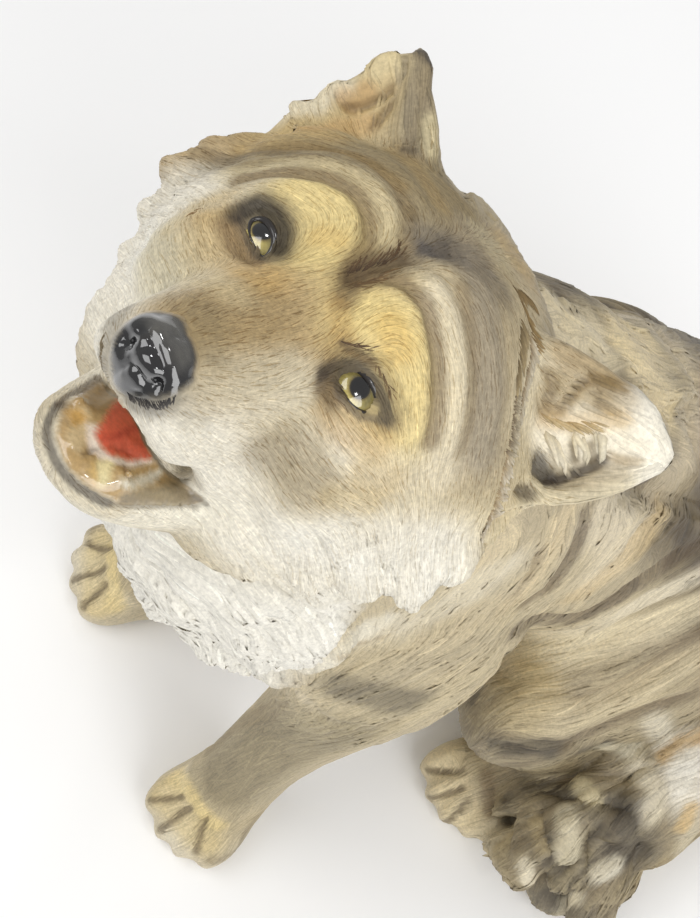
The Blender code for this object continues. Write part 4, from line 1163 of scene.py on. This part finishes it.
CROWN = [(0, 240), (139, 205), (143, 184), (152, 168), (168, 156), (190, 146), (215, 140), (245, 134),
         (262, 134), (285, 138), (297, 134), (300, 129), (292, 118), (289, 107), (292, 102), (300, 101),
         (312, 104), (319, 93), (328, 85), (338, 81), (350, 85), (358, 84), (362, 78), (366, 68), (373, 60),
         (382, 54), (392, 51), (400, 54), (406, 60), (411, 54), (418, 49), (424, 45), (429, 43), (434, 50),
         (435, 58), (432, 75), (431, 92), (435, 110), (438, 130), (438, 148), (437, 160), (442, 174),
         (456, 192), (480, 215), (700, 300), (700, 918), (0, 918)]
LEFT_EAR = [(500, 280), (536, 326), (560, 342), (600, 360), (622, 376), (640, 392), (656, 408), (667, 425),
            (674, 455), (664, 470), (645, 482), (620, 493), (600, 498), (583, 500), (540, 503), (512, 508),
            (480, 520), (440, 400)]
TAIL_EDGE = [(300, 500), (700, 500), (700, 843), (680, 855), (669, 858), (661, 871), (645, 880), (640, 888),
             (620, 895), (610, 905), (606, 1000), (540, 1000), (534, 918), (525, 898), (518, 880),
             (508, 873), (499, 862), (493, 845), (485, 833), (466, 829), (455, 833), (440, 822), (400, 800)]

NUDGES = [
    # zone, picture point, the way in picture points, reach in picture points
    ("crown", (300, 110), (-10, -7), 15),
    ("crown", (336, 94), (-4, -9), 13),
    ("crown", (386, 62), (-6, -7), 15),
    ("crown", (428, 54), (4, -8), 9),
    ("left ear", (668, 452), (15, 9), 30),
    ("left ear", (650, 400), (8, -3), 24),
    ("left ear", (600, 508), (-2, -5), 34),
    ("bib", (200, 655), (5, -16), 42),
    ("bib", (130, 600), (7, -6), 30),
]


def zones(skin):
    h = to_head(skin.points)
    seen = picture(skin.points)
    p = skin.points
    r = regions(skin)
    return {"crown": (seen[:, 0] < 470) & (seen[:, 1] < 215) & (np.linalg.norm(h, axis=1) < 0.17),
            "left ear": (r["ear"] > 0) & (h[:, 0] > 0.0),
            "tail": (r["tail"] > 0.3),
            "bib": (p[:, 1] < -0.175) & (p[:, 2] > 0.12) & (r["face"] < 0.5) & (p[:, 2] < 0.31)}


def shifted(points, moves):
    """Points moved by this many picture points sideways and down, at their own distance."""
    away = -((points - CAMERA) @ BACK) / FOCAL
    return points + (moves[:, :1] * RIGHT - moves[:, 1:] * UP) * away[:, None]


def nudge(skin):
    for zone, at, way, reach in NUDGES:
        chosen = zones(skin)[zone]
        weight = np.exp(-np.sum((picture(skin.points) - at) ** 2, axis=1) / reach ** 2) * chosen
        weight = mean_over(skin, weight, 6)
        skin.points = shifted(skin.points, weight[:, None] * np.array(way, dtype=float))


def trim(skin, zone, outline, limit=16.0):
    """Presses what the camera sees outside an outline back on to it."""
    seen = picture(skin.points)
    k = np.nonzero(zone & ~within(seen, outline))[0]
    path = np.pad(np.array(outline + outline[:1], dtype=float), ((0, 0), (0, 1)))
    q = np.pad(seen[k], ((0, 0), (0, 1)))
    best = np.full(len(k), np.inf)
    target = q.copy()
    for a, b in zip(path[:-1], path[1:]):
        ab = b - a
        t = np.clip((q - a) @ ab / (ab @ ab), 0.0, 1.0)
        foot = a + t[:, None] * ab
        d = np.linalg.norm(foot - q, axis=1)
        target[d < best] = foot[d < best]
        best = np.minimum(best, d)
    moves = (target - q)[:, :2] * np.clip(limit / np.maximum(best, 1e-6), 0.0, 1.0)[:, None]
    skin.points[k] = shifted(skin.points[k], moves)
    soft = np.zeros(len(seen))
    soft[k] = 1.0
    skin.points = smoothed(skin.points, skin.edges, 2, np.clip(2.0 * mean_over(skin, soft, 3), 0.0, 1.0))


def fit_to_picture(skin):
    nudge(skin)
    chosen = zones(skin)
    trim(skin, chosen["crown"], CROWN)
    trim(skin, chosen["left ear"], LEFT_EAR)
    trim(skin, chosen["tail"], TAIL_EDGE)
    skin.look_up()


# Coat relief and strokes

def lay_locks(skin, flow, r, colours):
    """Carves the locks of the coat, with painted shade in the grooves between them and a painted highlight on
    top.
    """
    bare = np.maximum(r["ear"], r["bottom"])
    coat = (1.0 - r["face"]) * (1.0 - bare) * (1.0 - r["tail"]) * (1.0 - 0.9 * r["leg"]) * (1.0 - r["paw"])
    coat = coat * (1.0 - r["bib"])
    h = to_head(skin.points) * 100.0
    below = smoothstep(-h[:, 2] + 0.25 * np.abs(h[:, 0]), 1.6, 3.0)
    cheek = r["face"] * below * smoothstep(-h[:, 1], -1.2, 1.0)
    layers = [
        # mask, width, length, spacing, height in mm, painted shade between, painted highlight on top
        (coat, 12.0, 66.0, 9.5, 1.5, 0.50, 0.26),
        (r["tail"], 8.5, 30.0, 6.5, 2.4, 0.75, 0.30),
        (r["bib"] * (1.0 - bare), 8.5, 36.0, 7.0, 2.8, 0.20, 0.0),
        (cheek, 6.0, 24.0, 5.2, 1.5, 0.26, 0.08),
        (r["face"] * (1.0 - cheek), 2.2, 11.0, 2.2, 0.13, 0.12, 0.0),
    ]
    rise = np.zeros(len(skin.points))
    for k, (mask, width, length, spacing, height, dark, top_highlight) in enumerate(layers):
        high, number = locks(skin, flow, mask, width * MM, length * MM, spacing * MM, 11 + k)
        rise += mask * high * height * MM
        tint = np.random.default_rng(40 + k).random(number.max() + 1)[number]
        # painted shade: darker where a lock is low, in the grooves between the locks
        amount = mask * dark * np.clip(1.0 - high / 0.5, 0.0, 1.0) ** 1.2
        blend(colours, slice(None), colours * 0.34, amount)
        # painted highlight: cream on the tops of the locks
        amount = mask * top_highlight * smoothstep(high, 0.55, 1.1) * (0.3 + tint)
        blend(colours, slice(None), CREAM, amount)
        blend(colours, slice(None), colours * 0.76, mask * (tint < 0.3) * dark * 0.5)
    skin.points = skin.points + skin.normals * (rise - 0.35 * MM * coat)[:, None]
    low = skin.points[:, 2] < 0.0
    skin.points[low, 2] = 0.0
    skin.look_up()


def ridge_faces(rings):
    """Corners of one ridge's faces: a fan at each end and two rows of quads between."""
    rows = rings - 1
    faces = [(0, 2, 1), (0, 3, 2)]
    for k in range(rows - 1):
        a = 1 + 3 * k
        faces += [(a, a + 1, a + 4, a + 3), (a + 1, a + 2, a + 5, a + 4)]
    a = 1 + 3 * (rows - 1)
    last = 1 + 3 * rows
    faces += [(a, a + 1, last), (a + 1, a + 2, last)]
    return np.array([c for f in faces for c in f]), np.array([len(f) for f in faces])


def ridges(name, places, up, width, rise, edge_shade_tones, crown_highlight_tones, shine, material, most=7000):
    """Tapered raised hairs along paths, each sunk in the skin at its edges and its ends, with darker edges
    and ends as painted shade and a paler crown as a painted highlight.
    """
    count, rings = len(places), places.shape[1] - 1
    way = unit(np.gradient(places, axis=1))
    side = unit(np.cross(up, way))[:, 1:-1]
    middle, facing = places[:, 1:-1], up[:, 1:-1]
    half = 0.5 * width[..., None] * side
    sunk = 0.12 * rise[..., None] * facing
    rows = np.stack((middle - half - sunk, middle + rise[..., None] * facing, middle + half - sunk), axis=2)
    dip = 0.1 * rise.max(axis=1)[:, None, None]
    ends = places[:, [0, -1]] - up[:, [0, -1]] * dip
    points = np.concatenate((ends[:, :1], rows.reshape(count, -1, 3), ends[:, 1:]), axis=1)
    # painted shade on the edges and ends, painted highlight on the crown
    inner = np.stack((edge_shade_tones[:, 1:-1], crown_highlight_tones[:, 1:-1], edge_shade_tones[:, 1:-1]), axis=2)
    tones = np.concatenate((edge_shade_tones[:, :1], inner.reshape(count, -1, 3), edge_shade_tones[:, -1:]), axis=1)
    each = points.shape[1]
    corners, sizes = ridge_faces(rings)
    for k, first in enumerate(range(0, count, most)):
        chunk = slice(first, min(first + most, count))
        n = chunk.stop - chunk.start
        all_corners = (corners[None, :] + (np.arange(n) * each)[:, None]).ravel()
        mesh = mesh_from(name, points[chunk].reshape(-1, 3), all_corners, np.tile(sizes, n))
        set_paint(mesh, np.clip(tones[chunk].reshape(-1, 3), 0.0, 0.95), np.repeat(shine[chunk], each))
        finish_piece(new_object("%s_%d" % (name, k + 1), mesh), material)


def strokes(name, skin, flow, mask, colours, width, length, height, spacing, rings, seed, material,
            dark, light, scatter=0.08, wander=0.10):
    """Fine hairs scattered over the skin along the coat: width, length, height and spacing in mm. Each hair's
    colour is scaled by dark at its edges, a painted shade, and by light on its crown, a painted highlight.
    """
    rng = np.random.default_rng(seed)
    starts = scattered(skin, mask, spacing * MM, rng)
    places, under = traced(skin, flow, starts, rings, length * MM / rings, wander, rng)
    turn = np.sum(skin.normals[under[:, 1:]] * skin.normals[under[:, :-1]], axis=2)
    steps = np.linalg.norm(np.diff(places, axis=1), axis=2) * rings / (length * MM)
    keep = (mask[under].min(axis=1) > 0.02) & (turn.min(axis=1) > 0.6) & (steps.max(axis=1) < 1.4)
    places, under = places[keep], under[keep]
    size = rng.uniform(0.75, 1.25, len(places))[:, None]
    swell = np.sin(np.pi * np.linspace(0.0, 1.0, rings + 1)[None, 1:-1] ** 0.8) ** 0.7 * size
    tint = np.exp(rng.normal(0.0, scatter, len(places)))[:, None, None]
    base = colours[under] * tint
    calm = 1.0 - 0.6 * smoothstep(colours[under].mean(axis=2), 0.35, 0.75)[..., None]
    dark, light = 1.0 - (1.0 - dark) * calm, 1.0 - (1.0 - light) * calm
    rise = height * MM * swell * mask[under[:, 1:-1]] ** 0.5
    # edges darker as painted shade, crowns paler as painted highlight
    ridges(name, places, skin.normals[under], width * MM * swell, rise, base * dark, base * light,
           np.zeros(len(places)), material)


# Tufts: picture path of their roots, how many, the way they point in picture points, width, length and rise
# in mm, the colours of root and tip, and 1 where they are blunt curls, broadest at the root

TUFTS = [
    ([(512, 284), (522, 290), (530, 298)], 12, (18, 14), 0.5, 5.0, 0.3,
     shade(104, 84, 52), shade(150, 126, 84), 0),
    ([(520, 300), (526, 314), (530, 328), (530, 340)], 20, (15, 9), 0.55, 4.6, 0.35,
     shade(112, 90, 54), shade(166, 140, 94), 0),
    ([(520, 316), (519, 336), (518, 356), (516, 376)], 30, (11, 18), 0.6, 5.8, 0.4,
     shade(104, 86, 54), shade(180, 160, 120), 0),
    ([(528, 334), (530, 352), (526, 372), (522, 392), (520, 410)], 44, (10, 9), 0.7, 4.0, 0.5,
     shade(136, 112, 74), shade(224, 214, 190), 0),
    ([(514, 396), (512, 416), (510, 436), (504, 452)], 34, (14, 5), 0.7, 4.4, 0.5,
     shade(104, 82, 48), shade(220, 208, 180), 0),
    ([(506, 452), (501, 470), (497, 490), (490, 512), (482, 532)], 46, (10, 9), 0.8, 4.8, 0.5,
     shade(150, 124, 78), shade(228, 218, 196), 0),
    ([(545, 430), (550, 434), (556, 438)], 5, (8, 30), 1.8, 8.6, 0.7,
     shade(222, 208, 176), shade(232, 222, 198), 1),
    ([(573, 432), (578, 434), (584, 436)], 4, (6, 28), 1.7, 7.4, 0.7,
     shade(222, 208, 176), shade(230, 220, 194), 1),
    ([(596, 430), (601, 432), (606, 434)], 4, (1, 28), 1.7, 7.0, 0.7,
     shade(224, 212, 182), shade(234, 226, 204), 1),
    ([(540, 412), (556, 420), (572, 422), (588, 420)], 22, (16, 8), 0.7, 5.5, 0.35,
     shade(172, 142, 90), shade(212, 192, 150), 0),
    ([(345, 278), (362, 272), (380, 266), (398, 259)], 46, (12, -13), 0.32, 4.6, 0.16,
     shade(62, 44, 26), shade(104, 78, 46), 0),
    ([(344, 288), (362, 282), (380, 276)], 30, (14, -6), 0.32, 4.6, 0.16,
     shade(84, 62, 36), shade(126, 98, 60), 0),
    ([(338, 340), (350, 345), (362, 350)], 16, (16, 5), 0.3, 3.6, 0.16,
     shade(60, 42, 24), shade(112, 84, 50), 0),
    ([(376, 362), (384, 374), (390, 390)], 16, (6, 16), 0.3, 3.2, 0.16,
     shade(72, 54, 34), shade(140, 114, 74), 0),
    ([(196, 213), (204, 208)], 6, (-12, 10), 0.3, 2.4, 0.15, shade(120, 88, 52), shade(160, 130, 88), 0),
    ([(126, 391), (138, 397), (152, 400), (166, 398), (176, 394)], 60, (1, 10), 0.28, 2.6, 0.14,
     shade(24, 24, 26), shade(84, 78, 72), 0),
    ([(108, 330), (104, 345), (102, 360)], 14, (-12, 6), 0.3, 3.0, 0.14,
     shade(96, 82, 58), shade(150, 134, 104), 0),
]


def tufts(skin, material):
    rng = np.random.default_rng(77)
    rings = 6
    t = np.linspace(0.0, 1.0, rings + 1)
    for k, (pixels, count, way, width, length, height, root, tip, blunt) in enumerate(TUFTS):
        path = resampled(skin.line(pixels, 1.0 * MM), 0.3 * MM)
        which = np.clip(rng.normal(np.linspace(0, len(path) - 1, count), 1.2), 0, len(path) - 1).astype(int)
        p = path[which]
        lean = unit(np.array(way, dtype=float) + rng.normal(0.0, 0.16, (count, 2)) * np.linalg.norm(way))
        ahead = lean[:, :1] * RIGHT - lean[:, 1:] * UP
        size = rng.uniform(0.8, 1.2, count)[:, None]
        places, up = [p], [skin.normals[skin.nearest(p)]]
        for _ in range(rings):
            n = up[-1]
            step = unit(ahead - np.sum(ahead * n, axis=1)[:, None] * n) * length * MM / rings * size
            q = places[-1] + step
            near_by = skin.nearest(q)
            off = np.sum((q - skin.points[near_by]) * skin.normals[near_by], axis=1)
            q = q - np.clip(off, -2.0 * MM, 0.6 * MM)[:, None] * skin.normals[near_by]
            places.append(q)
            up.append(skin.normals[near_by])
        places, up = np.stack(places, axis=1), np.stack(up, axis=1)
        places = places + up * (0.55 * height * MM * t ** 1.5)[None, :, None]
        inner = t[None, 1:-1]
        swell = (1.0 - inner ** 2.2) ** 0.6 if blunt else np.sin(np.pi * (0.10 + 0.90 * inner) ** 1.2) ** 0.8
        swell = swell * size
        tone = (root * (1.0 - t[:, None]) + tip * t[:, None])[None] * rng.uniform(0.85, 1.12, (count, 1, 1))
        # each tuft's edges are darker than its crown: painted shade
        ridges("tuft_row_%d" % (k + 1), places, up, width * MM * swell, height * MM * swell,
               tone * 0.72, tone, np.zeros(count), material)


# Eyes: the pupil and the outline of the opening as picture points, and which side

EYES = [
    ("left", 1.0, (360, 388), [(333, 371), (340, 366), (350, 366), (360, 370), (369, 379), (376, 392),
                               (378, 405), (374, 412), (366, 414), (355, 408), (346, 398), (339, 386)]),
    ("right", -1.0, (263, 231), [(250, 222), (257, 219), (266, 221), (272, 228), (276, 240), (272, 250),
                                 (265, 258), (260, 256), (254, 246), (249, 234)]),
]
# The eyeball, and the iris and pupil in mm
EYE_RADIUS = 7.8 * MM
IRIS = 5.7
PUPIL = 2.2
LID = shade(34, 28, 24)
LID_GLOSS = 0.45
LID_GAP = 0.35 * MM
GAZE = np.array((0.30, 0.65, 0.70))


def eye_place(skin, sign, pupil):
    gaze = unit(GAZE * (sign, 1.0, 1.0)) @ HEAD_AXES
    return skin.at(*pupil) - gaze * EYE_RADIUS, gaze


def on_ball(centre, x, y, radius):
    way = sight(x, y)
    off = CAMERA - centre
    b = off @ way
    c = off @ off - radius ** 2
    root = b * b - c
    if root < 0.0:
        return CAMERA - way * b
    return CAMERA + way * (-b - math.sqrt(root))


def open_lids(skin, centre, outline):
    """The skin sinks behind the eyeball inside the opening and clears it outside."""
    off = skin.points - centre
    d = np.linalg.norm(off, axis=1)
    close = np.nonzero(d < 1.6 * EYE_RADIUS)[0]
    inside = within(picture(skin.points[close]), outline)
    way = off[close] / d[close][:, None]
    reach = np.where(inside, EYE_RADIUS - 1.3 * MM, np.maximum(d[close], EYE_RADIUS + LID_GAP))
    front = way @ unit(CAMERA - centre) > 0.1
    skin.points[close[front]] = centre + way[front] * reach[front][:, None]
    return close[front & inside]


def closed_tube(name, path, radii, around=10):
    """A tube round a closed path."""
    n = len(path)
    ahead = unit(np.roll(path, -1, axis=0) - np.roll(path, 1, axis=0))
    middle = path.mean(axis=0)
    out = unit(path - middle)
    out = unit(out - np.sum(out * ahead, axis=1)[:, None] * ahead)
    up = np.cross(ahead, out)
    angle = np.linspace(0.0, 2.0 * np.pi, around, endpoint=False)
    ring = out[:, None] * np.cos(angle)[None, :, None] + up[:, None] * np.sin(angle)[None, :, None]
    points = path[:, None] + ring * np.asarray(radii)[:, None, None]
    faces = []
    for i in range(n):
        for j in range(around):
            a, b = i * around, ((i + 1) % n) * around
            k = (j + 1) % around
            faces += [a + j, b + j, b + k, a + k]
    return mesh_from(name, points.reshape(-1, 3), faces, np.full(n * around, 4))


def closed_curve(points, rounds=3):
    for _ in range(rounds):
        after = np.roll(points, -1, axis=0)
        points = np.stack((0.75 * points + 0.25 * after, 0.25 * points + 0.75 * after), axis=1).reshape(-1, 3)
    return points


def eyeball(name, centre, gaze, material):
    bpy.ops.mesh.primitive_uv_sphere_add(segments=96, ring_count=80, radius=EYE_RADIUS)
    o = bpy.context.object
    o.name = name
    mesh = o.data
    points = vertices_of(mesh)
    off = np.arccos(np.clip(points[:, 2] / EYE_RADIUS, -1.0, 1.0)) * EYE_RADIUS / MM
    turn = np.arctan2(points[:, 1], points[:, 0])
    points *= 1.0 + 0.04 * np.clip(1.0 - (off / IRIS) ** 2, 0.0, 1.0)[:, None]
    colours = np.tile(shade(96, 78, 52), (len(points), 1))
    streak = 0.5 + 0.5 * np.sin(turn * 37.0 + 2.0 * np.sin(turn * 11.0))
    iris = smoothstep(-off, -IRIS - 0.3, -IRIS)
    blend(colours, slice(None), shade(206, 190, 112), iris)
    blend(colours, slice(None), shade(150, 132, 62), iris * 0.35 * streak)
    blend(colours, slice(None), shade(126, 106, 50), smoothstep(off, IRIS - 1.2, IRIS) * iris * 0.6)
    blend(colours, slice(None), shade(108, 84, 40), smoothstep(-off, -PUPIL - 0.9, -PUPIL) * 0.75)
    blend(colours, slice(None), shade(12, 10, 10), smoothstep(-off, -PUPIL - 0.15, -PUPIL + 0.1))
    turned = Vector((0.0, 0.0, 1.0)).rotation_difference(Vector(gaze)).to_matrix()
    points = points @ np.array(turned).T
    shadow = smoothstep(points @ unit(HEAD_AXES[2] * 0.8 - HEAD_AXES[1]) / EYE_RADIUS, -0.45, 0.05)
    blend(colours, slice(None), colours * 0.25, shadow * 0.85)
    points = points + centre
    set_vertices(mesh, points)
    set_paint(mesh, colours, np.ones(len(points)))
    mesh.shade_smooth()
    finish_piece(o, material)


def make_eyes(skin, resin):
    inside = []
    for side, sign, pupil, outline in EYES:
        centre, gaze = eye_place(skin, sign, pupil)
        rim = np.array([on_ball(centre, x, y, EYE_RADIUS + LID_GAP) for x, y in outline])
        rim = closed_curve(rim)
        middle = rim.mean(axis=0)
        upper = np.clip(unit(rim - middle) @ (HEAD_AXES[2] * 0.9 - HEAD_AXES[1] * 0.4) * 1.5, -1.0, 1.0)
        radii = (0.60 + 0.34 * upper) * MM
        inside.append(open_lids(skin, centre, outline))
        eyeball("eyeball_" + side, centre, gaze, resin)
        lids = closed_tube("eyelids_" + side, rim, radii)
        count = len(lids.vertices)
        set_paint(lids, np.tile(LID, (count, 1)), np.full(count, LID_GLOSS))
        finish_piece(new_object("eyelids_" + side, lids), resin)
    return np.concatenate(inside)


# Inside of the mouth: colour, gloss, outline in the picture

MOUTH_AREAS = [
    (shade(176, 146, 96), 0.6, [(62, 408), (98, 382), (108, 388), (124, 402), (150, 455), (160, 468),
                                (204, 500), (190, 503), (120, 502), (88, 486), (70, 470), (56, 440)]),
    (shade(206, 182, 138), 0.6, [(70, 420), (84, 404), (90, 414), (88, 440), (80, 456), (66, 440)]),
    (shade(198, 156, 84), 0.9, [(66, 412), (76, 408), (86, 416), (84, 424), (72, 428)]),
    (shade(142, 112, 62), 0.5, [(84, 400), (100, 387), (112, 392), (119, 402), (104, 416), (92, 414)]),
    (shade(224, 208, 190), 0.8, [(86, 425), (98, 426), (98, 438), (102, 448), (112, 456), (126, 460),
                                 (152, 458), (154, 463), (130, 470), (112, 466), (97, 460), (86, 446)]),
    (shade(206, 88, 60), 0.8, [(118, 401), (128, 414), (137, 430), (145, 447), (151, 458), (140, 460),
                               (125, 460), (110, 455), (100, 447), (95, 436), (99, 428), (106, 415)]),
    (shade(164, 44, 30), 0.8, [(100, 437), (114, 435), (136, 427), (137, 430), (118, 439), (102, 441)]),
    (shade(166, 136, 84), 0.5, [(120, 470), (152, 463), (158, 467), (130, 480), (122, 478)]),
    (shade(214, 206, 184), 0.8, [(117, 478), (130, 480), (158, 468), (162, 473), (150, 485), (130, 489),
                                 (118, 486)]),
    (shade(196, 164, 100), 0.6, [(88, 464), (94, 462), (100, 488), (92, 482)]),
    (shade(226, 212, 160), 0.9, [(94, 462), (114, 462), (108, 480), (102, 489), (97, 484)]),
    (shade(132, 116, 86), 0.4, [(116, 492), (150, 488), (175, 480), (204, 498), (192, 503), (120, 503)]),
]
MOUTH_LINES = [
    (shade(66, 60, 55), 1.2, 0.95, [(58, 405), (47, 424), (48, 440), (56, 462), (70, 480), (86, 492),
                                    (106, 503)]),
    (shade(78, 60, 38), 1.2, 0.9, [(60, 404), (80, 392), (98, 378)]),
    # a thin painted shadow under the edge of the upper lip
    (shade(100, 92, 76), 0.8, 0.8, [(104, 384), (126, 410), (145, 445), (160, 466), (185, 481), (206, 504)]),
    (shade(104, 90, 66), 0.9, 0.7, [(112, 504), (150, 505), (196, 506)]),
]
CHIN = [(shade(232, 226, 208), 9, 0.95, [(42, 470), (80, 505), (130, 516), (180, 514)]),
        (shade(206, 190, 156), 3.0, 0.5, [(40, 440), (52, 474), (90, 500), (120, 510)])]


def paint_mouth(skin, colours, gloss):
    brush(skin, colours, CHIN)
    seen = picture(skin.points)
    open_side = np.sum(skin.normals * unit(CAMERA - skin.points), axis=1) > 0.02
    low = open_side & (to_head(skin.points)[:, 2] < -0.012) & (to_head(skin.points)[:, 1] > 0.0)
    inner = np.zeros(len(seen))
    for colour, shine, outline in MOUTH_AREAS:
        area = mean_over(skin, (low & within(seen, outline)) * 1.0, 1)
        blend(colours, slice(None), colour, area)
        gloss[:] = np.where(area > 0.5, shine, gloss)
        inner = np.maximum(inner, area)
    brush(skin, colours, MOUTH_LINES)
    return inner > 0.3


# The wolf, and where it stands

skin = make_skin()
fit_to_picture(skin)
carve(skin)
flow = coat_flow(skin)
colours, gloss = paint(skin)
mouth = paint_mouth(skin, colours, gloss)
r = regions(skin)
bald = mouth | (gloss > 0.05)
r["face"][bald] = 0.0
lay_locks(skin, flow, r, colours)
resin = painted_material("painted_resin_coat", wear_group(), MOTTLE_SCALE, GRAIN)
opened = make_eyes(skin, resin)
skin.look_up()
hairy = 1.0 - r["bottom"]
hairy[bald] = 0.0
hairy[opened] = 0.0
face, coat = hairy * r["face"], hairy * (1.0 - r["face"]) * (1.0 - 0.55 * r["leg"])
bib = coat * r["bib"]
divided(skin, colours, gloss, resin)
strokes("face_hair", skin, flow, face, colours, 0.5, 5.5, 0.12, 1.2, 4, 3, resin, 0.84, 1.05)
# the face lines are darker all over: painted shade of engraved hair grooves
strokes("face_line", skin, flow, face, colours, 0.24, 5.0, 0.05, 1.5, 4, 5, resin, ENGRAVED_GROOVE_SHADE, ENGRAVED_GROOVE_SHADE * 1.15)
strokes("coat_hair", skin, flow, coat - bib, colours, 1.3, 17.0, 0.26, 3.8, 6, 4, resin, 0.78, 1.06)
strokes("bib_hair", skin, flow, bib, colours, 1.3, 14.0, 0.28, 3.0, 6, 6, resin, 0.88, 1.0)
tufts(skin, resin)
place_camera()
set_stage()
